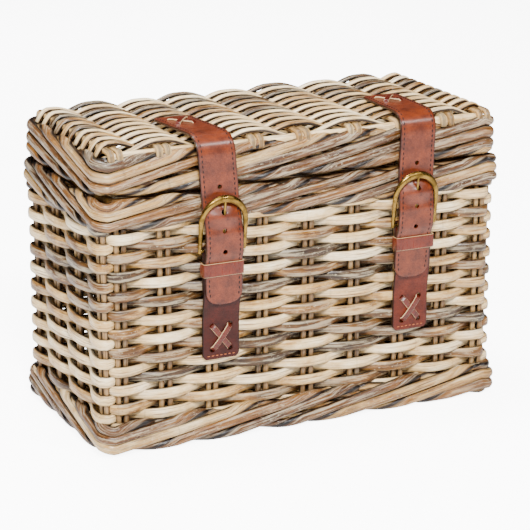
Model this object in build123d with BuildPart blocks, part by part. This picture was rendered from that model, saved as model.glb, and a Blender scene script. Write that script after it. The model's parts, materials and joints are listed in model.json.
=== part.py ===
"""Wicker storage trunk: woven body on a pole frame, hinged woven lid, two buckled leather straps."""

import os
from math import cos, radians, sin

from build123d import *

# All sizes are in millimetres. X runs along the trunk, -Y is the front, +Z is up, z = 0 is the floor.

# --- Body and lid sizes ---
foot_length = 500.0  # foot border, outside
foot_depth = 250.0
foot_width = 8.0  # how far the foot border stands out from the wall
foot_height = 38.0
foot_sole = 4.0  # cane layer of the foot border under the wall
wall_thickness = 14.0
wall_height = 254.0
wall_corner_radius = 10.0
foot_edge_radius = 5.0
rim_width = 3.5  # how far the rim border stands out from the wall
rim_drop = 8.0  # how far the rim border hangs over the wall's top edge
rim_cap_height = 29.0
rim_cap_width = 12.0
lid_seam = 0.8  # gap between the rim border and the closed lid
lid_setback = 5.0  # lid border behind the rim border's outer face, at the front and back
lid_end_setback = 2.0
lid_border_width = 16.0
lid_border_height = 45.8
lid_border_corner_radius = 14.0
lid_border_edge_radius = 5.0

# --- Canes and poles ---
stake_diameter = 6.4
stake_gap = 2.6  # between the two canes of a pair
stake_spacing = 56.0  # wanted distance between pairs in the long walls
stake_margin = 18.0  # from a long wall's outer end to the first pair
end_stake_spacing = 66.0
end_stake_margin = 9.0  # from an end wall's edge to the first pair
rib_diameter = 8.0
rib_clearance = 0.2  # lid ribs above the lid border
rib_overhang = 8.0  # cut ends of the lid ribs over the lid border
lid_weave_thickness = 16.0
base_thickness = 10.0
base_rise = 2.0  # base ribs above the floor
pole_diameter = 12.0
pole_corner_radius = 9.0
rim_pole_drop = 3.0  # rim pole below the rim border's top

# --- Hinge ---
hinge_rod_diameter = 6.0
hinge_rod_length = 404.0
hinge_clearance = 0.08  # running clearance of the lid loops on the rod
hinge_wall = 1.8  # cane of the loops
hinge_loop_width = 14.0
hinge_loop_gap = 1.0  # along the rod, between a lid loop and a body loop
hinge_side_gap = 0.4  # between the loops and the rim border
hinge_bridge_gap = 0.45  # between the rod's surface and the bridge from loop to tab
hinge_tab_height = 24.0
hinge_stations = 3
hinge_station_margin = 48.0  # from the rod's end to the outer stations

# --- Straps ---
strap_positions = {"left": -106.0, "right": 131.0}
strap_width = 44.0
strap_thickness = 2.8
strap_gap = 0.3  # clearance beside a strap
lid_strap_gap = 0.1  # strap above the lid weave
layer_gap = 0.2  # between the two layers of a folded strap
end_chamfer = 4.0
tail_bulge_rise = 18.0  # the tail's fullest point above the bar
strap_bend_radius = 24.0  # over the lid's front edge
strap_soft_radius = 6.0  # gentle bends
lid_strap_reach = 99.0  # along the lid top, from the strap's hanging face
tail_hinge_height = 15.2  # above the lid's underside
tail_joint_gap = 0.3
tail_length = 143.0
tail_tip_radius = 16.0
hole_diameter = 6.0
hole_pitch = 23.5
holes_below_prong = 2
spare_hole_rise = 47.0  # highest hole above the prong's hole
lace_width = 5.0
lace_thickness = 1.6
lace_peg_diameter = 3.4
lace_peg_depth = 3.0  # into the weave
lace_span = 22.0  # across the strap
lace_rise = 28.0  # along the strap
lace_end_distance = 25.0  # from the strap's end to the middle of the cross

# --- Buckle ---
bar_diameter = 4.0
bar_drop = 65.0  # bar below the rim border's top
bar_clearance = 0.08  # running clearance of strap and prong on the bar
fold_drop = 3.0  # below the bar, where the strap starts to fold round it
fold_length = 48.0  # strap layer behind the bar, below it
buckle_strap_length = 127.0  # from the bar down to the strap's lower end
buckle_strap_lift = 46.0  # height above that end where the strap leaves the wall
frame_side_gap = 2.0  # beside the strap
frame_rail = 4.6
frame_top_rail = 7.0
frame_reach = 54.0  # from the bar to the inside of the top rail
frame_thickness = 5.0
frame_edge_radius = 1.6
frame_lean = 7.0  # degrees forward of upright
prong_diameter = 3.2
prong_ring_thickness = 1.5
prong_ring_width = 4.0
prong_slot_gap = 0.8
prong_hole_gap = 0.6
prong_lean = 9.5
prong_length = 58.0
prong_notch_gap = 0.1

# --- Keeper ---
keeper_thickness = 1.6
keeper_height = 15.0
keeper_side_gap = 0.8
keeper_drop = 22.0  # middle of the keeper below the bar
keeper_corner_radius = 1.2

# --- Derived places ---
wall_x = foot_length / 2 - foot_width
wall_y = foot_depth / 2 - foot_width
inner_x = wall_x - wall_thickness
inner_y = wall_y - wall_thickness
wall_top = foot_sole + wall_height
bar_height = wall_top + rim_cap_height - bar_drop
buckle_strap_foot = bar_height - buckle_strap_length
rim_y = wall_y + rim_width
rim_x = wall_x + rim_width
rim_top = wall_top + rim_cap_height
lid_bottom = rim_top + lid_seam
lid_x = rim_x - lid_end_setback
lid_y = rim_y - lid_setback
lid_border_top = lid_bottom + lid_border_height
lid_inner_x = lid_x - lid_border_width
lid_inner_y = lid_y - lid_border_width
rib_height = lid_border_top + rib_clearance + rib_diameter / 2
lid_weave_bottom = rib_height - lid_weave_thickness / 2
lid_weave_top = lid_weave_bottom + lid_weave_thickness
base_bottom = base_rise + rib_diameter
base_top = base_bottom + base_thickness
bottom_pole_z = base_top + pole_diameter / 2
rim_pole_z = rim_top - rim_pole_drop - pole_diameter / 2
lid_pole_z = lid_weave_bottom - pole_diameter / 2
pair_offset = (stake_diameter + stake_gap) / 2
rib_pair_offset = (rib_diameter + stake_gap) / 2

lid_loop_radius = hinge_rod_diameter / 2 + hinge_clearance + hinge_wall
hinge_y = rim_y + hinge_side_gap + lid_loop_radius
hinge_z = (rim_top + lid_bottom) / 2

hang_y = -(rim_y + strap_gap + strap_thickness / 2)
strap_top_z = lid_weave_top + strap_thickness / 2 + lid_strap_gap
tail_top = lid_bottom + tail_hinge_height
frame_inner_half = strap_width / 2 + frame_side_gap
rail_shoulder = frame_reach - frame_inner_half
rail_foot = rail_shoulder + (frame_inner_half**2 - (strap_width / 2) ** 2) ** 0.5
back_layer_y = -(wall_y + strap_gap + keeper_thickness + layer_gap + strap_thickness / 2)
fold_radius = bar_diameter / 2 + bar_clearance + strap_thickness / 2
bar_y = back_layer_y - fold_radius
fold_front_y = bar_y - fold_radius
front_layer_y = back_layer_y - strap_thickness - layer_gap
foot_layer_y = -(wall_y + strap_gap + strap_thickness / 2)
tail_bar_y = fold_front_y - strap_thickness - strap_gap
tail_keeper_y = front_layer_y - strap_thickness - strap_gap
rail_clearance = (frame_thickness + strap_thickness) / 2 + strap_gap
tail_rail_y = bar_y - rail_foot * sin(radians(frame_lean)) + rail_clearance
rail_foot_z = bar_height + rail_foot * cos(radians(frame_lean))
prong_hole_z = bar_height + tail_bulge_rise + prong_diameter
keeper_z = bar_height - keeper_drop
tail_tip = tail_top - tail_length


def pair_centres(half_span, margin, spacing):
    """Evenly spaced centres of cane pairs between two margins."""
    span = 2 * (half_span - margin)
    gaps = max(1, round(span / spacing))
    return [span * (i / gaps - 0.5) for i in range(gaps + 1)]


def pair_places(centres, offset):
    """Centres of the single canes of all pairs."""
    return [centre + side * offset for centre in centres for side in (-1, 1)]


long_pairs = pair_centres(wall_x, stake_margin, stake_spacing)
front_places = pair_places(long_pairs, pair_offset)
rib_places = pair_places(long_pairs, rib_pair_offset)
end_places = pair_places(pair_centres(inner_y, end_stake_margin, end_stake_spacing), pair_offset)
wall_middle = wall_thickness / 2
lace_corners = [(x, y) for x in (-lace_span / 2, lace_span / 2) for y in (-lace_rise / 2, lace_rise / 2)]


def write(part, label):
    """Labels a finished piece and writes it to parts/."""
    part.label = label
    export_step(part, f"parts/{label}.step")


# --- Woven walls, their stakes and the floor ---
def lace_sockets(side):
    """Places on the front wall, in X and Z, where a base lace's ends go in."""
    x = strap_positions[side]
    z = buckle_strap_foot + lace_end_distance
    return [(x + dx, z + dz) for dx, dz in lace_corners]


def make_long_wall(label, direction):
    """Front (-1) or back (+1) woven wall with holes for its stakes."""
    middle = direction * (wall_y - wall_middle)
    outer_face = direction * wall_y
    with BuildPart() as wall:
        with BuildSketch(Plane.XY.offset(foot_sole)):
            with Locations((0, middle)):
                Rectangle(2 * wall_x, wall_thickness)
        extrude(amount=wall_height)
        corners = wall.edges().filter_by(Axis.Z).filter_by(lambda e: abs(e.center().Y - outer_face) < 1e-6)
        fillet(corners, radius=wall_corner_radius)
        with BuildSketch(Plane.XY.offset(foot_sole)):
            with Locations([(x, middle) for x in front_places]):
                Circle(stake_diameter / 2)
        extrude(amount=wall_height, mode=Mode.SUBTRACT)
        if direction < 0:
            with BuildSketch(Plane.XZ.offset(wall_y)):
                with Locations(lace_sockets("left") + lace_sockets("right")):
                    Circle(lace_peg_diameter / 2)
            extrude(amount=-lace_peg_depth, mode=Mode.SUBTRACT)
    write(wall.part, label)


def make_end_wall(label, direction):
    """Left (-1) or right (+1) woven wall between the long walls."""
    middle = direction * (wall_x - wall_middle)
    with BuildPart() as wall:
        with BuildSketch(Plane.XY.offset(foot_sole)):
            with Locations((middle, 0)):
                Rectangle(wall_thickness, 2 * inner_y)
        extrude(amount=wall_height)
        with BuildSketch(Plane.XY.offset(foot_sole)):
            with Locations([(middle, y) for y in end_places]):
                Circle(stake_diameter / 2)
        extrude(amount=wall_height, mode=Mode.SUBTRACT)
    write(wall.part, label)


def make_stakes(label, places):
    """Upright canes of one wall, as separate solids."""
    with BuildPart() as stakes:
        with BuildSketch(Plane.XY.offset(foot_sole)):
            with Locations(places):
                Circle(stake_diameter / 2)
        extrude(amount=wall_height)
    write(stakes.part, label)


def make_base():
    """Woven floor and the cane ribs under it."""
    with BuildPart() as base_weave:
        with BuildSketch(Plane.XY.offset(base_bottom)):
            Rectangle(2 * inner_x, 2 * inner_y)
        extrude(amount=base_thickness)
    write(base_weave.part, "base_weave")

    inside = [x for x in rib_places if abs(x) < inner_x - rib_diameter]
    with BuildPart() as base_ribs:
        with BuildSketch(Plane.XZ.offset(-inner_y)):
            with Locations([(x, base_bottom - rib_diameter / 2) for x in inside]):
                Circle(rib_diameter / 2)
        extrude(amount=2 * inner_y)
    write(base_ribs.part, "base_ribs")


# --- Plaited borders ---
def outline(half_x, half_y, radius):
    """Rounded rectangle centred on the origin, in the current sketch."""
    RectangleRounded(2 * half_x, 2 * half_y, radius)


def make_foot_border():
    """Border round the foot of the walls, with a sole under them."""
    outer_radius = wall_corner_radius + foot_width
    with BuildPart() as foot_border:
        with BuildSketch():
            outline(wall_x + foot_width, wall_y + foot_width, outer_radius)
        extrude(amount=foot_height)
        outer_edges = foot_border.edges().group_by(Axis.Z)[0] + foot_border.edges().group_by(Axis.Z)[-1]
        fillet(outer_edges, radius=foot_edge_radius)
        with BuildSketch(Plane.XY.offset(foot_sole)):
            outline(wall_x, wall_y, wall_corner_radius)
        extrude(amount=foot_height, mode=Mode.SUBTRACT)
        with BuildSketch():
            Rectangle(2 * inner_x, 2 * inner_y)
        extrude(amount=foot_sole, mode=Mode.SUBTRACT)
    write(foot_border.part, "foot_border")


def make_rim_border():
    """Border over the top edge of the walls."""
    outer_radius = wall_corner_radius + rim_width
    with BuildPart() as rim_border:
        with BuildSketch(Plane.XY.offset(wall_top - rim_drop)):
            outline(rim_x, rim_y, outer_radius)
        extrude(amount=rim_drop + rim_cap_height)
        with BuildSketch(Plane.XY.offset(wall_top - rim_drop)):
            outline(wall_x, wall_y, wall_corner_radius)
        extrude(amount=rim_drop, mode=Mode.SUBTRACT)
        with BuildSketch(Plane.XY.offset(wall_top)):
            Rectangle(2 * (wall_x - rim_cap_width), 2 * (wall_y - rim_cap_width))
        extrude(amount=rim_cap_height, mode=Mode.SUBTRACT)
    write(rim_border.part, "rim_border")


# --- Poles ---
def ring_pole(label, half_x, half_y, height):
    """Round pole bent into a rounded rectangle; the half sizes are to its centre line."""
    corners = [(-half_x, -half_y), (half_x, -half_y), (half_x, half_y), (-half_x, half_y)]
    with BuildPart() as pole:
        with BuildLine(Plane.XY.offset(height)) as path:
            FilletPolyline(*corners, radius=pole_corner_radius, close=True)
        with BuildSketch(Plane(origin=path.line @ 0, z_dir=path.line % 0)):
            Circle(pole_diameter / 2)
        sweep()
    write(pole.part, label)


def make_poles():
    """Pole frame inside the trunk."""
    radius = pole_diameter / 2
    rail_y = inner_y - radius
    rail_x = inner_x - radius
    with BuildPart() as bottom_frame:
        with BuildSketch(Plane.YZ.offset(-inner_x)):
            with Locations((-rail_y, bottom_pole_z), (rail_y, bottom_pole_z)):
                Circle(radius)
        extrude(amount=2 * inner_x)
        with BuildSketch(Plane.XZ.offset(-(inner_y - pole_diameter))):
            with Locations((-rail_x, bottom_pole_z), (rail_x, bottom_pole_z)):
                Circle(radius)
        extrude(amount=2 * (inner_y - pole_diameter))
    write(bottom_frame.part, "bottom_frame")

    post_bottom = bottom_pole_z + radius
    post_top = rim_pole_z - radius
    with BuildPart() as corner_posts:
        with BuildSketch(Plane.XY.offset(post_bottom)):
            with GridLocations(2 * rail_x, 2 * rail_y, 2, 2):
                Circle(radius)
        extrude(amount=post_top - post_bottom)
    write(corner_posts.part, "corner_posts")
    ring_pole("rim_frame", rail_x, rail_y, rim_pole_z)


# --- Lid ---
def lid_lace_sockets(side):
    """Places on the lid, in X and Y, where a lid lace's ends go in."""
    x = strap_positions[side]
    y = hang_y + lid_strap_reach - lace_end_distance
    return [(x + dx, y + dy) for dx, dy in lace_corners]


def make_lid():
    """Lid border, weave, ribs and pole frame."""
    with BuildPart() as lid_border:
        with BuildSketch(Plane.XY.offset(lid_bottom)):
            outline(lid_x, lid_y, lid_border_corner_radius)
        extrude(amount=lid_border_height)
        outer_edges = lid_border.edges().group_by(Axis.Z)[0] + lid_border.edges().group_by(Axis.Z)[-1]
        fillet(outer_edges, radius=lid_border_edge_radius)
        with BuildSketch(Plane.XY.offset(lid_bottom)):
            Rectangle(2 * lid_inner_x, 2 * lid_inner_y)
        extrude(amount=lid_border_height, mode=Mode.SUBTRACT)
    write(lid_border.part, "lid_border")

    with BuildPart() as lid_weave:
        with BuildSketch(Plane.XY.offset(lid_weave_bottom)):
            Rectangle(2 * lid_inner_x, 2 * lid_inner_y)
        extrude(amount=lid_weave_thickness)
        with BuildSketch(Plane.XZ.offset(-lid_inner_y)):
            with Locations([(x, rib_height) for x in rib_places]):
                Circle(rib_diameter / 2)
        extrude(amount=2 * lid_inner_y, mode=Mode.SUBTRACT)
        with BuildSketch(Plane.XY.offset(lid_weave_top)):
            with Locations(lid_lace_sockets("left") + lid_lace_sockets("right")):
                Circle(lace_peg_diameter / 2)
        extrude(amount=-lace_peg_depth, mode=Mode.SUBTRACT)
    write(lid_weave.part, "lid_weave")

    with BuildPart() as lid_ribs:
        with BuildSketch(Plane.XZ.offset(-(lid_inner_y + rib_overhang))):
            with Locations([(x, rib_height) for x in rib_places]):
                Circle(rib_diameter / 2)
        extrude(amount=2 * (lid_inner_y + rib_overhang))
    write(lid_ribs.part, "lid_ribs")

    radius = pole_diameter / 2
    ring_pole("lid_frame", lid_inner_x - radius, lid_inner_y - radius, lid_pole_z)


# --- Hinge ---
def hinge_stations_x():
    """Middle of each hinge station along the rod."""
    span = hinge_rod_length - 2 * hinge_station_margin
    return [span * (i / (hinge_stations - 1) - 0.5) for i in range(hinge_stations)]


def hinge_loop(x, inner_radius, face_y, direction):
    """Loop round the rod with a tab on a border's back face, up (+1) or down (-1)."""
    outer_radius = lid_loop_radius
    tab_start = hinge_z + direction * (inner_radius + hinge_wall / 2)
    tab_end = tab_start + direction * hinge_tab_height
    bridge_height = outer_radius - inner_radius - hinge_bridge_gap
    bridge_z = hinge_z + direction * (outer_radius - bridge_height / 2)
    with BuildPart(mode=Mode.PRIVATE) as loop:
        with BuildSketch(Plane.YZ.offset(x - hinge_loop_width / 2)):
            with Locations((hinge_y, hinge_z)):
                Circle(outer_radius)
            with Locations(((face_y + hinge_y) / 2, bridge_z)):
                Rectangle(hinge_y - face_y, bridge_height)
            with Locations((face_y + hinge_wall / 2, (tab_start + tab_end) / 2)):
                Rectangle(hinge_wall, abs(tab_end - tab_start))
            with Locations((hinge_y, hinge_z)):
                Circle(inner_radius, mode=Mode.SUBTRACT)
        extrude(amount=hinge_loop_width)
    return loop.part


def make_hinge():
    """Cane rod along the back seam, loops on the trunk and loops on the lid."""
    rod_radius = hinge_rod_diameter / 2
    with BuildPart() as hinge_rod:
        with BuildSketch(Plane.YZ.offset(-hinge_rod_length / 2)):
            with Locations((hinge_y, hinge_z)):
                Circle(rod_radius)
        extrude(amount=hinge_rod_length)
    write(hinge_rod.part, "hinge_rod")

    step = hinge_loop_width + hinge_loop_gap
    body_loops = [
        hinge_loop(x + side * step, rod_radius, rim_y, -1) for x in hinge_stations_x() for side in (-1, 1)
    ]
    write(Compound(children=body_loops), "body_hinge_loops")
    lid_loops = [hinge_loop(x, rod_radius + hinge_clearance, lid_y, 1) for x in hinge_stations_x()]
    write(Compound(children=lid_loops), "lid_hinge_loops")


# --- Straps ---
def strap_plane(x):
    """Plane through the middle of a strap: its x is the row's Y, its y is Z."""
    return Plane.YZ.offset(x)


def prong_plane(x, lean):
    """Plane with its origin on the bar, x along the bar and y up the leaning frame or prong."""
    return Plane(origin=(x, bar_y, bar_height), x_dir=(1, 0, 0), z_dir=(0, -1, 0)).rotated((lean, 0, 0))


def prong_path(x):
    """Centre line of the prong from the bar to its tip."""
    plane = prong_plane(x, prong_lean)
    return plane.origin, plane.origin + plane.y_dir * prong_length


def make_lid_strap(side):
    """Strap on the lid, bent over its front edge."""
    x = strap_positions[side]
    back_y = hang_y + lid_strap_reach
    strap_end = tail_top + strap_thickness / 2 + tail_joint_gap
    with BuildPart() as strap:
        with BuildLine(strap_plane(x)) as path:
            FilletPolyline((back_y, strap_top_z), (hang_y, strap_top_z), (hang_y, strap_end),
                           radius=strap_bend_radius)
        with BuildSketch(Plane(origin=path.line @ 0, x_dir=(1, 0, 0), z_dir=path.line % 0)):
            Rectangle(strap_width, strap_thickness)
        sweep()
        with BuildSketch(Plane.XY.offset(strap_top_z + strap_thickness)):
            with Locations(lid_lace_sockets(side)):
                Circle(lace_peg_diameter / 2)
            with Locations([(x + edge * strap_width / 2, back_y) for edge in (-1, 1)]):
                Rectangle(end_chamfer * 2**0.5, end_chamfer * 2**0.5, rotation=45)
        extrude(amount=-2 * strap_thickness, mode=Mode.SUBTRACT)
    write(strap.part, f"{side}_lid_strap")


def make_strap_tail(side):
    """Free end of the strap: behind the buckle's top rail, over its bar, through the keeper."""
    x = strap_positions[side]
    start, end = prong_path(x)
    route = [
        (hang_y, tail_top),
        (hang_y, bar_height + frame_reach + frame_top_rail),
        (tail_rail_y, rail_foot_z),
        (tail_bar_y, bar_height + tail_bulge_rise),
        (tail_bar_y, bar_height - bar_diameter),
        (tail_keeper_y, keeper_z + keeper_height / 2 + strap_thickness / 2),
        (tail_keeper_y, tail_tip),
    ]
    with BuildPart() as tail:
        with BuildLine(strap_plane(x)) as path:
            FilletPolyline(*route, radius=strap_soft_radius)
        with BuildSketch(Plane(origin=path.line @ 0, x_dir=(1, 0, 0), z_dir=path.line % 0)):
            Rectangle(strap_width, strap_thickness)
        sweep()
        tip = tail.faces().sort_by(Axis.Z)[0]
        fillet(tip.edges().filter_by(Axis.Y), radius=tail_tip_radius)
        with BuildSketch(Plane.YZ.offset(x - strap_width / 2)):
            with Locations((hang_y, tail_top)):
                Circle(strap_thickness / 2)
        extrude(amount=strap_width)
        with BuildSketch(Plane.XZ.offset(-tail_bar_y - 2 * strap_thickness)):
            with Locations([(x, prong_hole_z - (k + 1) * hole_pitch) for k in range(holes_below_prong)]):
                Circle(hole_diameter / 2)
        extrude(amount=4 * strap_thickness, mode=Mode.SUBTRACT)
        with BuildSketch(Plane.XZ.offset(-hang_y - strap_thickness)):
            with Locations((x, prong_hole_z + spare_hole_rise)):
                Circle(hole_diameter / 2)
        extrude(amount=2 * strap_thickness, mode=Mode.SUBTRACT)
        with BuildSketch(Plane(origin=start, z_dir=end - start)):
            Circle(prong_diameter / 2 + prong_hole_gap)
        extrude(amount=prong_length + prong_diameter, mode=Mode.SUBTRACT)
    write(tail.part, f"{side}_strap_tail")


def make_buckle_strap(side):
    """Short strap on the front wall, folded back round the buckle's bar."""
    x = strap_positions[side]
    start, end = prong_path(x)
    keeper_top = keeper_z + keeper_height / 2
    front = [
        (foot_layer_y, buckle_strap_foot),
        (foot_layer_y, buckle_strap_foot + buckle_strap_lift),
        (front_layer_y, bar_height - fold_length - layer_gap),
        (front_layer_y, keeper_top + strap_thickness),
        (fold_front_y, bar_height - fold_drop),
        (fold_front_y, bar_height),
    ]
    with BuildPart() as strap:
        with BuildLine(strap_plane(x)) as path:
            FilletPolyline(*front, radius=strap_soft_radius)
            ThreePointArc((fold_front_y, bar_height), (bar_y, bar_height + fold_radius),
                          (back_layer_y, bar_height))
            Line((back_layer_y, bar_height), (back_layer_y, bar_height - fold_length))
        with BuildSketch(Plane(origin=path.line @ 0, x_dir=(1, 0, 0), z_dir=path.line % 0)):
            Rectangle(strap_width, strap_thickness)
        sweep()
        with BuildSketch(Plane.XZ.offset(wall_y)):
            with Locations(lace_sockets(side)):
                Circle(lace_peg_diameter / 2)
            with Locations([(x + edge * strap_width / 2, buckle_strap_foot) for edge in (-1, 1)]):
                Rectangle(end_chamfer * 2**0.5, end_chamfer * 2**0.5, rotation=45)
        extrude(amount=2 * strap_thickness, mode=Mode.SUBTRACT)
        slot_width = prong_ring_width + 2 * prong_slot_gap
        slot_low = keeper_top
        slot_high = bar_height + fold_radius + strap_thickness
        ring_outer = bar_diameter / 2 + bar_clearance + prong_ring_thickness
        with BuildSketch(Plane.YZ.offset(x - slot_width / 2)):
            with Locations((fold_front_y - fold_radius / 2, (slot_low + slot_high) / 2)):
                Rectangle(3 * fold_radius, slot_high - slot_low)
            with Locations((bar_y, bar_height)):
                Circle(ring_outer + prong_slot_gap)
        extrude(amount=slot_width, mode=Mode.SUBTRACT)
        with BuildSketch(Plane(origin=start, z_dir=end - start)):
            Circle(prong_diameter / 2 + prong_slot_gap)
        extrude(amount=2 * fold_radius, mode=Mode.SUBTRACT)
    write(strap.part, f"{side}_buckle_strap")


# --- Laces ---
def lace(plane):
    """X of flat thong lying on a plane's front, with four pegs through the strap into the weave."""
    angle = Vector(lace_span, lace_rise).get_angle(Vector(1, 0))
    reach = (lace_span**2 + lace_rise**2) ** 0.5 + lace_width
    with BuildPart() as thong:
        with BuildSketch(plane.offset(strap_thickness)):
            for turn in (angle, -angle):
                SlotOverall(reach, lace_width, rotation=turn)
        extrude(amount=lace_thickness)
        with BuildSketch(plane.offset(strap_thickness)):
            with Locations(lace_corners):
                Circle(lace_peg_diameter / 2)
        extrude(amount=-(strap_thickness + lace_peg_depth))
    return thong.part


def make_laces(side):
    """Laces of one strap: on the front wall and on the lid."""
    x = strap_positions[side]
    base_z = buckle_strap_foot + lace_end_distance
    base = Plane(origin=(x, foot_layer_y + strap_thickness / 2, base_z), x_dir=(1, 0, 0), z_dir=(0, -1, 0))
    write(lace(base), f"{side}_base_lace")
    lid_y_middle = hang_y + lid_strap_reach - lace_end_distance
    top = Plane(origin=(x, lid_y_middle, strap_top_z - strap_thickness / 2), x_dir=(1, 0, 0), z_dir=(0, 0, 1))
    write(lace(top), f"{side}_lid_lace")


# --- Buckle ---
def make_buckle(side):
    """Horseshoe frame with its bar, and the prong that turns on the bar."""
    x = strap_positions[side]
    inner_half = frame_inner_half
    outer_half = inner_half + frame_rail
    heel = frame_thickness / 2
    shoulder_in = rail_shoulder
    shoulder_out = frame_reach + frame_top_rail - outer_half
    start, end = prong_path(x)
    plane = prong_plane(x, frame_lean)
    with BuildPart() as frame:
        with BuildSketch(plane.offset(-frame_thickness / 2)):
            with BuildLine():
                Line((-outer_half, -heel), (-outer_half, shoulder_out))
                ThreePointArc((-outer_half, shoulder_out), (0, frame_reach + frame_top_rail),
                              (outer_half, shoulder_out))
                Line((outer_half, shoulder_out), (outer_half, -heel))
                Line((outer_half, -heel), (inner_half, -heel))
                Line((inner_half, -heel), (inner_half, shoulder_in))
                ThreePointArc((inner_half, shoulder_in), (0, frame_reach), (-inner_half, shoulder_in))
                Line((-inner_half, shoulder_in), (-inner_half, -heel))
                Line((-inner_half, -heel), (-outer_half, -heel))
            make_face()
        extrude(amount=frame_thickness)
        faces = frame.faces().filter_by(GeomType.PLANE).sort_by(lambda f: f.area)[-2:]
        fillet(faces.edges(), radius=frame_edge_radius)
        with BuildSketch(Plane.YZ.offset(x - outer_half + frame_rail / 2)):
            with Locations((bar_y, bar_height)):
                Circle(bar_diameter / 2)
        extrude(amount=2 * outer_half - frame_rail)
        with BuildSketch(Plane(origin=start + (end - start) * 0.5, z_dir=end - start)):
            Circle(prong_diameter / 2 + prong_notch_gap)
        extrude(amount=prong_length, mode=Mode.SUBTRACT)
    write(frame.part, f"{side}_buckle_frame")

    ring_inner = bar_diameter / 2 + bar_clearance
    with BuildPart() as prong:
        with BuildSketch(Plane(origin=start, z_dir=end - start)):
            Circle(prong_diameter / 2)
        extrude(amount=prong_length)
        with BuildSketch(Plane.YZ.offset(x - prong_ring_width / 2)):
            with Locations((bar_y, bar_height)):
                Circle(ring_inner + prong_ring_thickness)
        extrude(amount=prong_ring_width)
        with BuildSketch(Plane.YZ.offset(x - prong_ring_width)):
            with Locations((bar_y, bar_height)):
                Circle(ring_inner)
        extrude(amount=2 * prong_ring_width, mode=Mode.SUBTRACT)
    write(prong.part, f"{side}_buckle_prong")


def make_keeper(side):
    """Loose leather loop round the buckle strap and the tail."""
    x = strap_positions[side]
    inner_width = strap_width + 2 * keeper_side_gap
    back_y = -(wall_y + strap_gap)
    front_y = tail_keeper_y - strap_thickness / 2 - strap_gap - keeper_thickness
    inner_back = back_y - keeper_thickness
    inner_front = front_y + keeper_thickness
    with BuildPart() as keeper:
        with BuildSketch(Plane.XY.offset(keeper_z - keeper_height / 2)):
            with Locations((x, (back_y + front_y) / 2)):
                RectangleRounded(inner_width + 2 * keeper_thickness, back_y - front_y, keeper_corner_radius)
            with Locations((x, (inner_back + inner_front) / 2)):
                Rectangle(inner_width, inner_back - inner_front, mode=Mode.SUBTRACT)
        extrude(amount=keeper_height)
    write(keeper.part, f"{side}_keeper")


def main():
    """Builds every piece and writes it to parts/."""
    os.makedirs("parts", exist_ok=True)
    make_long_wall("front_weave", -1)
    make_long_wall("back_weave", 1)
    make_end_wall("left_weave", -1)
    make_end_wall("right_weave", 1)
    stake_y = wall_y - wall_middle
    stake_x = wall_x - wall_middle
    make_stakes("front_stakes", [(x, -stake_y) for x in front_places])
    make_stakes("back_stakes", [(x, stake_y) for x in front_places])
    make_stakes("left_stakes", [(-stake_x, y) for y in end_places])
    make_stakes("right_stakes", [(stake_x, y) for y in end_places])
    make_base()
    make_foot_border()
    make_rim_border()
    make_poles()
    make_lid()
    make_hinge()
    for side in strap_positions:
        make_lid_strap(side)
        make_strap_tail(side)
        make_buckle_strap(side)
        make_laces(side)
        make_buckle(side)
        make_keeper(side)


main()
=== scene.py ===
"""Wicker storage trunk: woven cane body and lid, rope borders, leather straps and brass buckles."""

import json
import logging
import math
from dataclasses import dataclass
from enum import Enum

import bpy
import numpy as np
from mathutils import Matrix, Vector

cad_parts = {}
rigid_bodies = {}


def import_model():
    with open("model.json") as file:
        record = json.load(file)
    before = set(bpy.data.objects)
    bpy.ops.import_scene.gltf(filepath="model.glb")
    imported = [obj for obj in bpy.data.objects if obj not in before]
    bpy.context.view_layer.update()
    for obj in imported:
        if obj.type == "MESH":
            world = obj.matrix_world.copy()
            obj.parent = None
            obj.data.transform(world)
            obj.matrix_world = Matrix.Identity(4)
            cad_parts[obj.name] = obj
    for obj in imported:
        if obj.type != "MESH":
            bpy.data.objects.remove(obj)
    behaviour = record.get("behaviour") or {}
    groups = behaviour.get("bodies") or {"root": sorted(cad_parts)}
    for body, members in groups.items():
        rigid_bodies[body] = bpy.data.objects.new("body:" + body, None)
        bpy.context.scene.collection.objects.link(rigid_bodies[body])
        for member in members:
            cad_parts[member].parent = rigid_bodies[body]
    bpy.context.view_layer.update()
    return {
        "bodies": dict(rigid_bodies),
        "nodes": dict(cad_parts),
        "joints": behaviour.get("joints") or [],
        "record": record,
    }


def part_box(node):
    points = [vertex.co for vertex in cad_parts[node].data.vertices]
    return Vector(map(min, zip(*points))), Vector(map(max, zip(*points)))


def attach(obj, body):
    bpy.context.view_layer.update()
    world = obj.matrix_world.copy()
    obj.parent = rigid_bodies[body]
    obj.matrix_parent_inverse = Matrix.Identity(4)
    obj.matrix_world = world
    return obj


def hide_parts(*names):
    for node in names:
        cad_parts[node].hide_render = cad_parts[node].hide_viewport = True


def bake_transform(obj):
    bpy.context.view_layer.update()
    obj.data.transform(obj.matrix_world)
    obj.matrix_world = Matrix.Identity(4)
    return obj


LOG = logging.getLogger("trunk")
MM = 0.001
TAU = 2 * math.pi
TINY = 1e-9


def linear(code: str) -> tuple[float, float, float, float]:
    """Turns a display colour such as "#C0A070" into scene-linear values.

    Args:
        code: Six hexadecimal digits after a hash sign.

    Returns:
        Red, green, blue and an alpha of one.
    """
    channels = [int(code[k : k + 2], 16) / 255 for k in (1, 3, 5)]
    red, green, blue = (c / 12.92 if c <= 0.04045 else ((c + 0.055) / 1.055) ** 2.4 for c in channels)
    return red, green, blue, 1.0


# --- Meshes ---
def deselect() -> None:
    """Leaves no object selected or active."""
    for other in bpy.context.selected_objects:
        other.select_set(False)
    bpy.context.view_layer.objects.active = None


def activate(obj: bpy.types.Object) -> None:
    """Makes one object the only selected and the active one.

    Args:
        obj: The object that the next operator works on.
    """
    deselect()
    obj.select_set(True)
    bpy.context.view_layer.objects.active = obj


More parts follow.
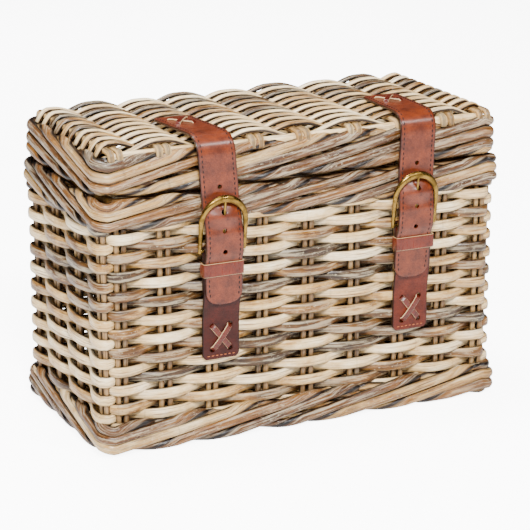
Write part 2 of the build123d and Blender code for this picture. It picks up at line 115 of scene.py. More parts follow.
def settle(obj: bpy.types.Object, name: str) -> bpy.types.Object:
    """Names a new object and puts its place into its mesh.

    Args:
        obj: A new mesh object.
        name: The piece's name.

    Returns:
        The same object at the origin.
    """
    activate(obj)
    bpy.ops.object.transform_apply(location=True, rotation=True, scale=True)
    obj.name = name
    obj.data.name = name
    return obj


def finish_modifier(obj: bpy.types.Object, kind: str, **values: object) -> None:
    """Adds a modifier and applies it.

    Args:
        obj: The mesh object.
        kind: Blender's name for the kind of modifier.
        values: The modifier's settings.
    """
    modifier = obj.modifiers.new(kind.lower(), kind)
    for key, value in values.items():
        setattr(modifier, key, value)
    activate(obj)
    bpy.ops.object.modifier_apply(modifier=modifier.name)


def soften(obj: bpy.types.Object, degrees: float = 40.0) -> None:
    """Shades smooth across edges flatter than an angle.

    Args:
        obj: The mesh object.
        degrees: Sharper edges than this stay crisp.
    """
    activate(obj)
    bpy.ops.object.shade_smooth_by_angle(angle=math.radians(degrees))


def unit(rows: np.ndarray) -> np.ndarray:
    """Scales each row of an array to length one.

    Args:
        rows: Vectors, one a row.

    Returns:
        The same directions with length one.
    """
    return rows / np.maximum(np.linalg.norm(rows, axis=1, keepdims=True), TINY)


def distances(line: np.ndarray) -> np.ndarray:
    """Distance along a line at each of its points."""
    return np.concatenate([[0.0], np.cumsum(np.linalg.norm(np.diff(line, axis=0), axis=1))])


def sample(at: object, along: np.ndarray, rows: np.ndarray) -> np.ndarray:
    """Reads an array of rows, given at distances, at other distances.

    Args:
        at: One distance or many.
        along: Distances of the rows.
        rows: The rows.

    Returns:
        One row, or one for each distance.
    """
    return np.stack([np.interp(at, along, column) for column in rows.T], -1)


def points_of(obj: bpy.types.Object) -> np.ndarray:
    """Places of a mesh's points, one a row."""
    return np.array([v.co for v in obj.data.vertices])


def move_points(obj: bpy.types.Object, places: np.ndarray) -> None:
    """Puts a mesh's points in new places."""
    for vertex, place in zip(obj.data.vertices, places):
        vertex.co = place


def join_onto(base: bpy.types.Object, *others: bpy.types.Object) -> None:
    """Joins pieces onto the first one."""
    activate(base)
    for other in others:
        other.select_set(True)
    bpy.ops.object.join()


def waver(rng: np.random.Generator, count: int, waves: int, closed: bool) -> np.ndarray:
    """Smooth random line between about -1 and 1.

    Args:
        rng: Seeded source of the draws.
        count: Number of samples.
        waves: How many slow waves make up the line.
        closed: True if the end meets the start.

    Returns:
        The line's values.
    """
    at = np.arange(count) / count
    line = np.zeros(count)
    for k in range(1, waves + 1):
        cycles = k if closed else k * 0.7
        line += rng.normal() * np.sin(TAU * (cycles * at + rng.random())) / math.sqrt(k)
    return line / max(np.abs(line).max(), 1e-6)


def cane_tone(rng: np.random.Generator, dark: float = 0.28) -> float:
    """Draws one cane's place in its finish's colours: mostly pale, some honey, some brown or grey.

    Args:
        rng: Seeded source of the draws.
        dark: Share of brown and grey canes.

    Returns:
        The place, from 0, pale, to 1, dark.
    """
    kind = rng.random()
    if kind < dark:
        return float(rng.uniform(0.55, 1.0))
    if kind < dark + 0.26:
        return float(rng.uniform(0.25, 0.55))
    return float(rng.uniform(0.0, 0.2))


class StrandMesh:
    """Collects canes as swept sections, with a UV map that runs along each cane."""

    pattern_shift = 10.0

    def __init__(self, name: str, seed: int, sides: int = 10) -> None:
        """Starts an empty piece.

        Args:
            name: The piece's name.
            seed: Seed of the draws for tone and pattern.
            sides: Points in each cane's section.
        """
        self.name = name
        self.sides = sides
        self.rng = np.random.default_rng(seed)
        self.points: list[np.ndarray] = []
        self.quads: list[np.ndarray] = []
        self.tris: list[np.ndarray] = []
        self.quad_uv: list[np.ndarray] = []
        self.tri_uv: list[np.ndarray] = []
        self.tones: list[np.ndarray] = []
        self.count = 0

    def lay(
        self,
        line: np.ndarray,
        outward: np.ndarray,
        half_height: np.ndarray | float,
        half_depth: np.ndarray | float,
        tone: float,
        closed: bool = False,
        squareness: float = 2.3,
    ) -> None:
        """Sweeps one cane.

        Args:
            line: Centre line, one point a row, in metres.
            outward: Direction of the section's depth at each point.
            half_height: Half size across the cane.
            half_depth: Half size along the outward direction.
            tone: Place of the cane in its finish's colours, 0 to 1.
            closed: True if the cane's end meets its start.
            squareness: 2 gives an ellipse, more gives flatter faces.
        """
        n, k = len(line), self.sides
        if closed:
            along = np.roll(line, -1, 0) - np.roll(line, 1, 0)
        else:
            along = np.gradient(line, axis=0)
        along = unit(along)
        out = unit(outward - along * np.sum(outward * along, axis=1, keepdims=True))
        across = np.cross(along, out)
        angle = np.arange(k) / k * TAU + math.pi
        power = 2 / squareness
        cos = np.sign(np.cos(angle)) * np.abs(np.cos(angle)) ** power
        sin = np.sign(np.sin(angle)) * np.abs(np.sin(angle)) ** power
        depth = np.broadcast_to(np.asarray(half_depth, float), (n,))[:, None, None]
        height = np.broadcast_to(np.asarray(half_height, float), (n,))[:, None, None]
        rings = (
            line[:, None, :]
            + out[:, None, :] * depth * cos[None, :, None]
            + across[:, None, :] * height * sin[None, :, None]
        )
        u = distances(np.concatenate([line, line[:1]]) if closed else line)
        u = u + self.rng.random() * self.pattern_shift
        spans = n if closed else n - 1
        i = np.arange(spans)[:, None]
        j = np.arange(k)[None, :]
        i2, j2 = (i + 1) % n, (j + 1) % k
        corner = lambda a, b: (a * k + b + 0 * i + 0 * j).reshape(-1)
        self.quads.append(
            np.stack([corner(i, j), corner(i, j2), corner(i2, j2), corner(i2, j)], 1) + self.count
        )
        u0 = np.repeat(u[:-1], k)
        u1 = np.repeat(u[1:], k)
        v0 = np.tile(np.arange(k) / k, spans)
        v1 = v0 + 1 / k
        loops = ((u0, v0), (u0, v1), (u1, v1), (u1, v0))
        self.quad_uv.append(np.stack([np.stack(pair, 1) for pair in loops], 1))
        block = rings.reshape(-1, 3)
        if not closed:
            block = np.concatenate([block, line[:1], line[-1:]])
            start, stop = n * k, n * k + 1
            ks = np.arange(k)
            kn = (ks + 1) % k
            first = np.stack([np.full(k, start), kn, ks], 1)
            last = np.stack([np.full(k, stop), (n - 1) * k + ks, (n - 1) * k + kn], 1)
            self.tris.append(np.concatenate([first, last]) + self.count)
            cap = np.zeros((2 * k, 3, 2))
            cap[:k, :, 0] = u[0]
            cap[k:, :, 0] = u[-1]
            cap[:, 1, 1] = np.concatenate([ks, ks]) / k
            cap[:, 2, 1] = cap[:, 1, 1] + 1 / k
            self.tri_uv.append(cap)
        self.points.append(block)
        self.tones.append(np.full(len(block), tone))
        self.count += len(block)

    def build(self) -> bpy.types.Object:
        """Makes the mesh object.

        Returns:
            The new object, at the origin.
        """
        points = np.concatenate(self.points)
        quads = np.concatenate(self.quads)
        tris = np.concatenate(self.tris) if self.tris else np.zeros((0, 3), int)
        mesh = bpy.data.meshes.new(self.name)
        mesh.vertices.add(len(points))
        mesh.vertices.foreach_set("co", points.astype(np.float32).ravel())
        mesh.loops.add(quads.size + tris.size)
        mesh.loops.foreach_set("vertex_index", np.concatenate([quads.ravel(), tris.ravel()]).astype(np.int32))
        mesh.polygons.add(len(quads) + len(tris))
        starts = np.concatenate([np.arange(len(quads)) * 4, quads.size + np.arange(len(tris)) * 3])
        mesh.polygons.foreach_set("loop_start", starts.astype(np.int32))
        uv = np.concatenate(
            [np.concatenate(self.quad_uv).reshape(-1, 2)]
            + ([np.concatenate(self.tri_uv).reshape(-1, 2)] if self.tris else [])
        )
        layer = mesh.uv_layers.new(name="strand")
        layer.data.foreach_set("uv", uv.astype(np.float32).ravel())
        tone = mesh.attributes.new("tone", "FLOAT", "POINT")
        tone.data.foreach_set("value", np.concatenate(self.tones).astype(np.float32))
        mesh.update(calc_edges=True)
        mesh.validate()
        mesh.shade_smooth()
        obj = bpy.data.objects.new(self.name, mesh)
        bpy.context.scene.collection.objects.link(obj)
        return obj


@dataclass(frozen=True)
class Ring:
    """Rounded rectangle seen from above, walked anticlockwise from its front left."""

    half_x: float
    half_y: float
    radius: float

    @property
    def runs(self) -> list[float]:
        """Lengths of the front, a corner, the right side, a corner and so on."""
        straight_x = 2 * (self.half_x - self.radius)
        straight_y = 2 * (self.half_y - self.radius)
        arc = math.pi / 2 * self.radius
        return [straight_x, arc, straight_y, arc, straight_x, arc, straight_y, arc]

    @property
    def length(self) -> float:
        """The whole way round."""
        return sum(self.runs)

    def at(self, s: np.ndarray) -> tuple[np.ndarray, np.ndarray]:
        """Places and outward directions on the ring.

        Args:
            s: Distances along the ring.

        Returns:
            Points and outward directions, with Z zero.
        """
        s = np.mod(np.asarray(s, float), self.length)
        edges = np.concatenate([[0.0], np.cumsum(self.runs)])
        place = np.zeros((len(s), 3))
        normal = np.zeros((len(s), 3))
        cx, cy = self.half_x - self.radius, self.half_y - self.radius
        centres = [(cx, -cy), (cx, cy), (-cx, cy), (-cx, -cy)]
        starts = [(-cx, -self.half_y), (self.half_x, -cy), (cx, self.half_y), (-self.half_x, cy)]
        ways = [(1, 0), (0, 1), (-1, 0), (0, -1)]
        for part in range(8):
            here = (s >= edges[part]) & (s <= edges[part + 1])
            d = s[here] - edges[part]
            side = part // 2
            if part % 2 == 0:
                way = np.array(ways[side], float)
                place[here, :2] = np.array(starts[side]) + d[:, None] * way
                normal[here, 0], normal[here, 1] = way[1], -way[0]
            else:
                turn = -math.pi / 2 + side * math.pi / 2 + d / self.radius
                normal[here, 0], normal[here, 1] = np.cos(turn), np.sin(turn)
                place[here, :2] = np.array(centres[side]) + self.radius * normal[here, :2]
        return place, normal

    def front(self, x: float) -> float:
        """Distance along the ring of a place on the front."""
        return x + self.half_x - self.radius

    def right(self, y: float) -> float:
        """Distance along the ring of a place on the right side."""
        return sum(self.runs[:2]) + y + self.half_y - self.radius

    def back(self, x: float) -> float:
        """Distance along the ring of a place on the back."""
        return sum(self.runs[:4]) + self.half_x - self.radius - x

    def left(self, y: float) -> float:
        """Distance along the ring of a place on the left side."""
        return sum(self.runs[:6]) + self.half_y - self.radius - y


# --- Materials ---
class Sketch:
    """Adds nodes to one tree and joins them."""

    def __init__(self, tree: bpy.types.NodeTree) -> None:
        """Keeps the tree.

        Args:
            tree: The material's or the group's node tree.
        """
        self.tree = tree

    def add(self, kind: str, **values: object) -> bpy.types.Node:
        """Adds a node; values that name an input set or link it, the others set a property."""
        node = self.tree.nodes.new(kind)
        for key, value in values.items():
            if hasattr(node, key) and not isinstance(value, bpy.types.NodeSocket):
                setattr(node, key, value)
            else:
                self.feed(node.inputs[key.replace("_", " ")], value)
        return node

    def feed(self, socket: bpy.types.NodeSocket, value: object) -> None:
        """Links a socket to an input, or sets the input's value."""
        if isinstance(value, bpy.types.NodeSocket):
            self.tree.links.new(value, socket)
        else:
            socket.default_value = value

    def noise(self, vector: object, scale: float, detail: float = 3.0, rough: float = 0.55) -> object:
        """Noise between 0 and 1."""
        node = self.add("ShaderNodeTexNoise", Vector=vector, Scale=scale, Detail=detail, Roughness=rough)
        return node.outputs["Fac"]

    def stretch(self, vector: object, x: float, y: float, z: float) -> object:
        """Scales a vector on its three axes."""
        node = self.add("ShaderNodeVectorMath", operation="MULTIPLY")
        self.feed(node.inputs[0], vector)
        node.inputs[1].default_value = (x, y, z)
        return node.outputs["Vector"]

    def math(self, operation: str, a: object, b: object = 0.0, clamp: bool = False) -> object:
        """One arithmetic step."""
        node = self.add("ShaderNodeMath", operation=operation, use_clamp=clamp)
        self.feed(node.inputs[0], a)
        self.feed(node.inputs[1], b)
        return node.outputs[0]

    def span(
        self, value: object, low: float, high: float, to_low: float = 0.0, to_high: float = 1.0
    ) -> object:
        """Maps a range to another, smoothly and clamped."""
        node = self.add("ShaderNodeMapRange", interpolation_type="SMOOTHSTEP")
        self.feed(node.inputs["Value"], value)
        for key, number in (("From Min", low), ("From Max", high), ("To Min", to_low), ("To Max", to_high)):
            node.inputs[key].default_value = number
        return node.outputs["Result"]

    def ramp(self, value: object, stops: tuple[tuple[float, str], ...]) -> object:
        """Colours along a value."""
        node = self.add("ShaderNodeValToRGB")
        self.feed(node.inputs["Fac"], value)
        band = node.color_ramp
        while len(band.elements) < len(stops):
            band.elements.new(0.5)
        for element, (place, code) in zip(band.elements, stops):
            element.position = place
            element.color = linear(code)
        return node.outputs["Color"]

    def mix(self, amount: object, a: object, b: object, way: str = "MIX") -> object:
        """Blends two colours."""
        node = self.add("ShaderNodeMix", data_type="RGBA", blend_type=way)
        self.feed(node.inputs["Factor"], amount)
        self.feed(node.inputs[6], linear(a) if isinstance(a, str) else a)
        self.feed(node.inputs[7], linear(b) if isinstance(b, str) else b)
        return node.outputs[2]

    def times(self, a: object, b: object) -> object:
        """Product of two values."""
        return self.math("MULTIPLY", a, b)

    def plus(self, a: object, b: object) -> object:
        """Sum of two values."""
        return self.math("ADD", a, b)

    def away(self, value: object, middle: float) -> object:
        """How far a value is from a middle."""
        return self.math("ABSOLUTE", self.math("SUBTRACT", value, middle))

    def bump(self, height: object, strength: float, distance: float) -> object:
        """Normal of a height map."""
        node = self.add("ShaderNodeBump", Height=height, Strength=strength, Distance=distance)
        return node.outputs["Normal"]


def new_group(name: str, inputs: tuple[tuple[str, str], ...], outputs: tuple[str, ...]) -> tuple:
    """Starts a shader node group.

    Args:
        name: The group's name.
        inputs: Names and socket types.
        outputs: Names of the values that the group puts out.

    Returns:
        The group, its sketch, its input node and its output node.
    """
    group = bpy.data.node_groups.new(name, "ShaderNodeTree")
    for label, kind in inputs:
        group.interface.new_socket(label, in_out="INPUT", socket_type=kind)
    for label in outputs:
        group.interface.new_socket(label, in_out="OUTPUT", socket_type="NodeSocketFloat")
    sketch = Sketch(group)
    return group, sketch, sketch.add("NodeGroupInput"), sketch.add("NodeGroupOutput")


TONE_SHIFT = 37.0
RING_COLOUR = "#3A281A"
SPECK_COLOUR = "#3A2412"
# Painted shade: near-black brown multiplied into the flanks of every cane, standing in for the shade in the
# grooves between canes.
GROOVE_SHADE_COLOUR = "#2A180A"
RINGS_PER_METRE = 4.0
# Place of the painted-shade band round the cane's section, measured from its middle.
GROOVE_SHADE_PLACE = 0.28


def cane_grain_group() -> bpy.types.NodeTree:
    """Grain of a cane along its strand map: fibres, mottling, node rings, whitewash and specks, and a
    painted-shade mask on both flanks of the cane's section.

    Returns:
        The node group.
    """
    group, s, inp, out = new_group(
        "cane_grain",
        (("Strand", "NodeSocketVector"), ("Tone", "NodeSocketFloat"), ("Girth", "NodeSocketFloat")),
        ("Fibre", "Mottle", "Ring", "Wash", "Speck", "Fleck", "GrooveShade"),
    )
    parts = s.add("ShaderNodeSeparateXYZ", Vector=inp.outputs["Strand"])
    along, around = parts.outputs["X"], parts.outputs["Y"]
    girth, tone = inp.outputs["Girth"], inp.outputs["Tone"]
    angle = s.times(around, TAU)
    round_x = s.times(s.math("COSINE", angle), girth)
    round_y = s.times(s.math("SINE", angle), girth)
    shifted = s.plus(along, s.times(tone, TONE_SHIFT))
    place = s.add("ShaderNodeCombineXYZ", X=shifted, Y=round_x, Z=round_y).outputs["Vector"]
    scales = {
        "Fibre": (22, 800, 3.0, 0.6),
        "Mottle": (26, 90, 6.0, 0.68),
        "Wash": (24, 380, 5.0, 0.7),
        "speck": (260, 420, 3.0, 0.6),
        "drift": (5, 0, 1.0, 0.55),
    }
    noises = {
        name: s.noise(s.stretch(place, length, round_, round_), 1.0, detail, rough)
        for name, (length, round_, detail, rough) in scales.items()
    }
    turns = s.plus(s.times(shifted, RINGS_PER_METRE), s.times(noises["drift"], 2.5))
    near = s.away(s.math("FRACT", turns), 0.5)
    # Painted shade mask: strongest in a band at either side of the section, where neighbouring canes meet and
    # shade falls.
    edge = s.away(s.away(around, 0.5), GROOVE_SHADE_PLACE)
    s.feed(out.inputs["GrooveShade"], s.span(edge, 0.03, 0.15, 1.0, 0.0))
    s.feed(out.inputs["Ring"], s.span(near, 0.0, 0.012, 1.0, 0.0))
    for name in ("Fibre", "Mottle", "Wash"):
        s.feed(out.inputs[name], noises[name])
    s.feed(out.inputs["Speck"], s.span(noises["speck"], 0.6, 0.72))
    s.feed(out.inputs["Fleck"], s.span(noises["speck"], 0.42, 0.32))
    return group


def leather_grain_group() -> bpy.types.NodeTree:
    """Grain of leather: pebbles, creases and darker clouds.

    Returns:
        The node group.
    """
    group, s, inp, out = new_group(
        "leather_grain", (("Place", "NodeSocketVector"),), ("Pebble", "Crease", "Cloud", "Scuff")
    )
    place = inp.outputs["Place"]
    cells = s.add("ShaderNodeTexVoronoi", feature="SMOOTH_F1", Vector=place, Scale=950.0, Smoothness=0.6)
    crease = s.add("ShaderNodeTexVoronoi", feature="DISTANCE_TO_EDGE", Vector=place, Scale=430.0)
    s.feed(out.inputs["Pebble"], cells.outputs["Distance"])
    s.feed(out.inputs["Crease"], s.span(crease.outputs["Distance"], 0.0, 0.12))
    s.feed(out.inputs["Cloud"], s.noise(place, 60.0, 5.0, 0.65))
    s.feed(out.inputs["Scuff"], s.noise(s.stretch(place, 500, 90, 500), 1.0, 4.0, 0.7))
    return group


def tarnish_group() -> bpy.types.NodeTree:
    """Tarnish and fine scratches of old brass.

    Returns:
        The node group.
    """
    group, s, inp, out = new_group("tarnish", (("Place", "NodeSocketVector"),), ("Tarnish", "Scratch"))
    place = inp.outputs["Place"]
    s.feed(out.inputs["Tarnish"], s.span(s.noise(place, 110.0, 4.0, 0.6), 0.4, 0.7))
    s.feed(out.inputs["Scratch"], s.noise(s.stretch(place, 2600, 2600, 300), 1.0, 3.0, 0.6))
    return group


class Groups:
    """Shared node groups, each made once."""

    made: dict[str, bpy.types.NodeTree] = {}

    @classmethod
    def get(cls, name: str) -> bpy.types.NodeTree:
        """Returns the group of that name, making it when it is first asked for."""
        makers = {"cane": cane_grain_group, "leather": leather_grain_group, "tarnish": tarnish_group}
        if name not in cls.made:
            cls.made[name] = makers[name]()
        return cls.made[name]


def new_material(name: str) -> tuple[bpy.types.Material, Sketch, bpy.types.Node]:
    """Starts a material.

    Args:
        name: The material's name.

    Returns:
        The material, its sketch and its Principled shader.
    """
    material = bpy.data.materials.new(name)
    material.use_nodes = True
    tree = material.node_tree
    shader = next(n for n in tree.nodes if n.type == "BSDF_PRINCIPLED")
    return material, Sketch(tree), shader


@dataclass(frozen=True)
class CaneFinish:
    """Cane, willow or rattan with its bark colours, whitewash and grain, and painted shade darkening both
    flanks where neighbouring canes meet.
    """

    name: str
    stops: tuple[tuple[float, str], ...]
    bark: str
    wash_colour: str
    wash_amount: float
    mottle_amount: float
    ring_amount: float
    roughness: float
    # Strength of the painted shade on the flanks.
    groove_shade_amount: float = 0.75
    girth: float = 0.005
    wash_by_tone: float = 0.25
    wash_end: float = 0.58

    def make(self) -> bpy.types.Material:
        """Builds the material, which reads the strand map and the tone."""
        material, s, shader = new_material(self.name)
        uv = s.add("ShaderNodeUVMap", uv_map="strand").outputs["UV"]
        tone = s.add("ShaderNodeAttribute", attribute_name="tone").outputs["Fac"]
        grain = s.add("ShaderNodeGroup", node_tree=Groups.get("cane"), Strand=uv, Tone=tone)
        grain.inputs["Girth"].default_value = self.girth
        g = grain.outputs
        wander = s.math("MULTIPLY", s.math("SUBTRACT", g["Mottle"], 0.5), self.mottle_amount)
        shade = s.math("ADD", s.math("MULTIPLY", tone, 0.8), s.math("ADD", wander, 0.1), True)
        base = s.ramp(shade, self.stops)
        streaked = s.mix(s.span(g["Fibre"], 0.48, 0.66, 0.0, 0.8), base, self.bark, "MULTIPLY")
        chalk = s.span(g["Wash"], 0.47, self.wash_end, 0.0, self.wash_amount)
        pale = s.math("MULTIPLY", chalk, s.plus(s.times(tone, self.wash_by_tone), 0.35), True)
        washed = s.mix(pale, streaked, self.wash_colour)
        flecks = s.times(g["Fleck"], s.span(g["Mottle"], 0.45, 0.6, 0.0, 0.4))
        flecked = s.mix(flecks, washed, self.wash_colour)
        ringed = s.mix(s.times(g["Ring"], self.ring_amount), flecked, RING_COLOUR)
        specks = s.times(g["Speck"], s.plus(s.times(tone, 0.6), 0.2))
        specked = s.mix(specks, ringed, SPECK_COLOUR)
        # Painted shade: the flanks are darkened towards a near-black brown by the groove-shade mask.
        sunk = s.mix(s.times(g["GrooveShade"], self.groove_shade_amount), specked, GROOVE_SHADE_COLOUR, "MULTIPLY")
        s.feed(shader.inputs["Base Color"], sunk)
        rough = s.span(g["Fibre"], 0.3, 0.7, self.roughness - 0.1, self.roughness + 0.12)
        s.feed(shader.inputs["Roughness"], rough)
        shader.inputs["Specular IOR Level"].default_value = 0.42
        height = s.math("ADD", g["Fibre"], s.math("MULTIPLY", g["Mottle"], 1.2))
        s.feed(shader.inputs["Normal"], s.bump(height, 0.55, 0.0006))
        return material


@dataclass(frozen=True)
class PoleFinish:
    """Thick rattan pole with bark, read from object coordinates."""

    name: str
    pale: str
    dark: str

    def make(self) -> bpy.types.Material:
        """Builds the material."""
        material, s, shader = new_material(self.name)
        place = s.add("ShaderNodeTexCoord").outputs["Object"]
        cloud = s.noise(place, 38.0, 5.0, 0.6)
        fine = s.noise(place, 700.0, 3.0, 0.6)
        colour = s.ramp(cloud, ((0.3, self.dark), (0.62, self.pale)))
        fibre = s.mix(s.span(fine, 0.5, 0.7, 0.0, 0.5), colour, "#4A3220", "MULTIPLY")
        s.feed(shader.inputs["Base Color"], fibre)
        s.feed(shader.inputs["Roughness"], s.span(fine, 0.3, 0.7, 0.42, 0.62))
        s.feed(shader.inputs["Normal"], s.bump(s.math("ADD", cloud, fine), 0.4, 0.0008))
        return material


@dataclass(frozen=True)
class LeatherFinish:
    """Strap leather with pebbled grain, clouds and dark burnished edges."""

    name: str
    bright: str
    deep: str
    edge: str
    roughness: float
    coat: float
    half_width: float
    band: float = 0.0016

    def make(self) -> bpy.types.Material:
        """Builds the material, which reads the hide map: along, across."""
        material, s, shader = new_material(self.name)
        uv = s.add("ShaderNodeUVMap", uv_map="hide").outputs["UV"]
        g = s.add("ShaderNodeGroup", node_tree=Groups.get("leather"), Place=uv).outputs
        colour = s.ramp(g["Cloud"], ((0.3, self.deep), (0.68, self.bright)))
        scuffed = s.mix(s.span(g["Scuff"], 0.52, 0.75, 0.0, 0.35), colour, self.deep, "MULTIPLY")
        creases = s.times(s.math("SUBTRACT", 1.0, g["Crease"]), 0.35)
        creased = s.mix(creases, scuffed, self.deep, "MULTIPLY")
        across = s.add("ShaderNodeSeparateXYZ", Vector=uv).outputs["Y"]
        rim = s.span(s.math("ABSOLUTE", across), self.half_width - self.band, self.half_width - self.band / 4)
        burnished = s.mix(s.math("MULTIPLY", rim, 0.8), creased, self.edge)
        s.feed(shader.inputs["Base Color"], burnished)
        rough = s.span(g["Scuff"], 0.3, 0.75, self.roughness - 0.06, self.roughness + 0.16)
        s.feed(shader.inputs["Roughness"], rough)
        shader.inputs["Specular IOR Level"].default_value = 0.22
        shader.inputs["Coat Weight"].default_value = self.coat
        shader.inputs["Coat Roughness"].default_value = 0.26
        height = s.math("ADD", s.math("MULTIPLY", g["Pebble"], 0.5), g["Crease"])
        s.feed(shader.inputs["Normal"], s.bump(height, 0.35, 0.00025))
        return material


@dataclass(frozen=True)
class BrassFinish:
    """Antique brass with dark tarnish."""

    name: str
    bright: str
    tarnish: str

    def make(self) -> bpy.types.Material:
        """Builds the material."""
        material, s, shader = new_material(self.name)
        place = s.add("ShaderNodeTexCoord").outputs["Object"]
        g = s.add("ShaderNodeGroup", node_tree=Groups.get("tarnish"), Place=place).outputs
        dulled = s.mix(s.times(g["Tarnish"], 0.65), self.bright, self.tarnish)
        s.feed(shader.inputs["Base Color"], dulled)
        shader.inputs["Metallic"].default_value = 1.0
        s.feed(shader.inputs["Roughness"], s.span(g["Tarnish"], 0.0, 1.0, 0.24, 0.5))
        s.feed(shader.inputs["Normal"], s.bump(g["Scratch"], 0.03, 0.0002))
        return material


@dataclass(frozen=True)
class ThreadFinish:
    """Waxed sewing thread or raw leather edge."""

    name: str
    pale: str
    dark: str
    roughness: float

    def make(self) -> bpy.types.Material:
        """Builds the material."""
        material, s, shader = new_material(self.name)
        place = s.add("ShaderNodeTexCoord").outputs["Object"]
        twist = s.noise(place, 1600.0, 2.0, 0.5)
        s.feed(shader.inputs["Base Color"], s.ramp(twist, ((0.35, self.dark), (0.65, self.pale))))
        s.feed(shader.inputs["Roughness"], s.span(twist, 0.3, 0.7, self.roughness, self.roughness + 0.1))
        s.feed(shader.inputs["Normal"], s.bump(twist, 0.5, 0.0003))
        return material


CANE_STOPS = (
    (0.0, "#F4E0B8"),
    (0.18, "#DDBC86"),
    (0.38, "#B48A4C"),
    (0.56, "#6E4618"),
    (0.8, "#412A12"),
    (1.0, "#221308"),
)
BORDER_STOPS = ((0.0, "#DCC498"), (0.2, "#AE8850"), (0.42, "#7C5022"), (0.68, "#523010"), (1.0, "#241006"))
STAKE_STOPS = ((0.0, "#A88450"), (0.5, "#7E5C34"), (1.0, "#49331D"))
RIB_STOPS = ((0.0, "#DDBE88"), (0.5, "#B98F54"), (1.0, "#7A5426"))


class Finish(Enum):
    """Every finish of the trunk."""

    CANE = CaneFinish("cane", CANE_STOPS, "#6E4822", "#DCCBA8", 0.6, 1.2, 0.2, 0.34, 1.0)
    BORDER = CaneFinish(
        "border_cane", BORDER_STOPS, "#4A2A0E", "#D8C8A8", 0.55, 0.95, 0.3, 0.34, 1.0, 0.006, 0.5, 0.62
    )
    STAKE = CaneFinish("stake_cane", STAKE_STOPS, "#5C3814", "#B8A684", 0.25, 0.6, 0.4, 0.42, 0.85)
    RIB = CaneFinish("rib_cane", RIB_STOPS, "#5C3814", "#C8B896", 0.3, 0.5, 0.2, 0.4, 0.7)
    POLE = PoleFinish("pole", "#8A6430", "#523214")
    STRAP = LeatherFinish("strap_leather", "#743013", "#401608", "#140602", 0.34, 0.38, 0.022)
    LOWER = LeatherFinish("lower_leather", "#400F05", "#240602", "#0C0302", 0.45, 0.03, 0.022)
    LOWER_PALE = LeatherFinish("lower_leather_pale", "#60210D", "#3C1006", "#140602", 0.45, 0.06, 0.022)
    KEEPER = LeatherFinish("keeper_leather", "#6E2208", "#421004", "#B8966C", 0.3, 0.35, 0.0075, 0.0007)
    LACE = LeatherFinish("lace_leather", "#5E1C0A", "#3C0E05", "#D8B88C", 0.24, 0.4, 0.003, 0.0004)
    BRASS = BrassFinish("brass", "#8A6C34", "#42300F")
    THREAD = ThreadFinish("thread", "#180804", "#090201", 0.85)
    BRIGHT_THREAD = ThreadFinish("bright_thread", "#B0602A", "#7A3814", 0.5)

    @property
    def material(self) -> bpy.types.Material:
        """The finish's material, made when it is first asked for."""
        found = bpy.data.materials.get(self.value.name)
        return found if found and found.get("trunk_made") else self.first()

    def first(self) -> bpy.types.Material:
        """Makes the material and marks it."""
        material = self.value.make()
        material["trunk_made"] = True
        return material


def dress(obj: bpy.types.Object, finish: Finish, body: str, slot: str, *nodes: str) -> bpy.types.Object:
    """Gives a finished piece its material and its body, and hides the CAD nodes that it stands for.

    Args:
        obj: The piece.
        finish: Its finish.
        body: The body that it rides on.
        slot: The record's material slot; not used.
        nodes: CAD nodes that it replaces.

    Returns:
        The piece.
    """
    obj.data.materials.clear()
    obj.data.materials.append(finish.material)
    if body:
        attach(obj, body)
    if nodes:
        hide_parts(*nodes)
    LOG.info("%s: %d faces", obj.name, len(obj.data.polygons))
    return obj


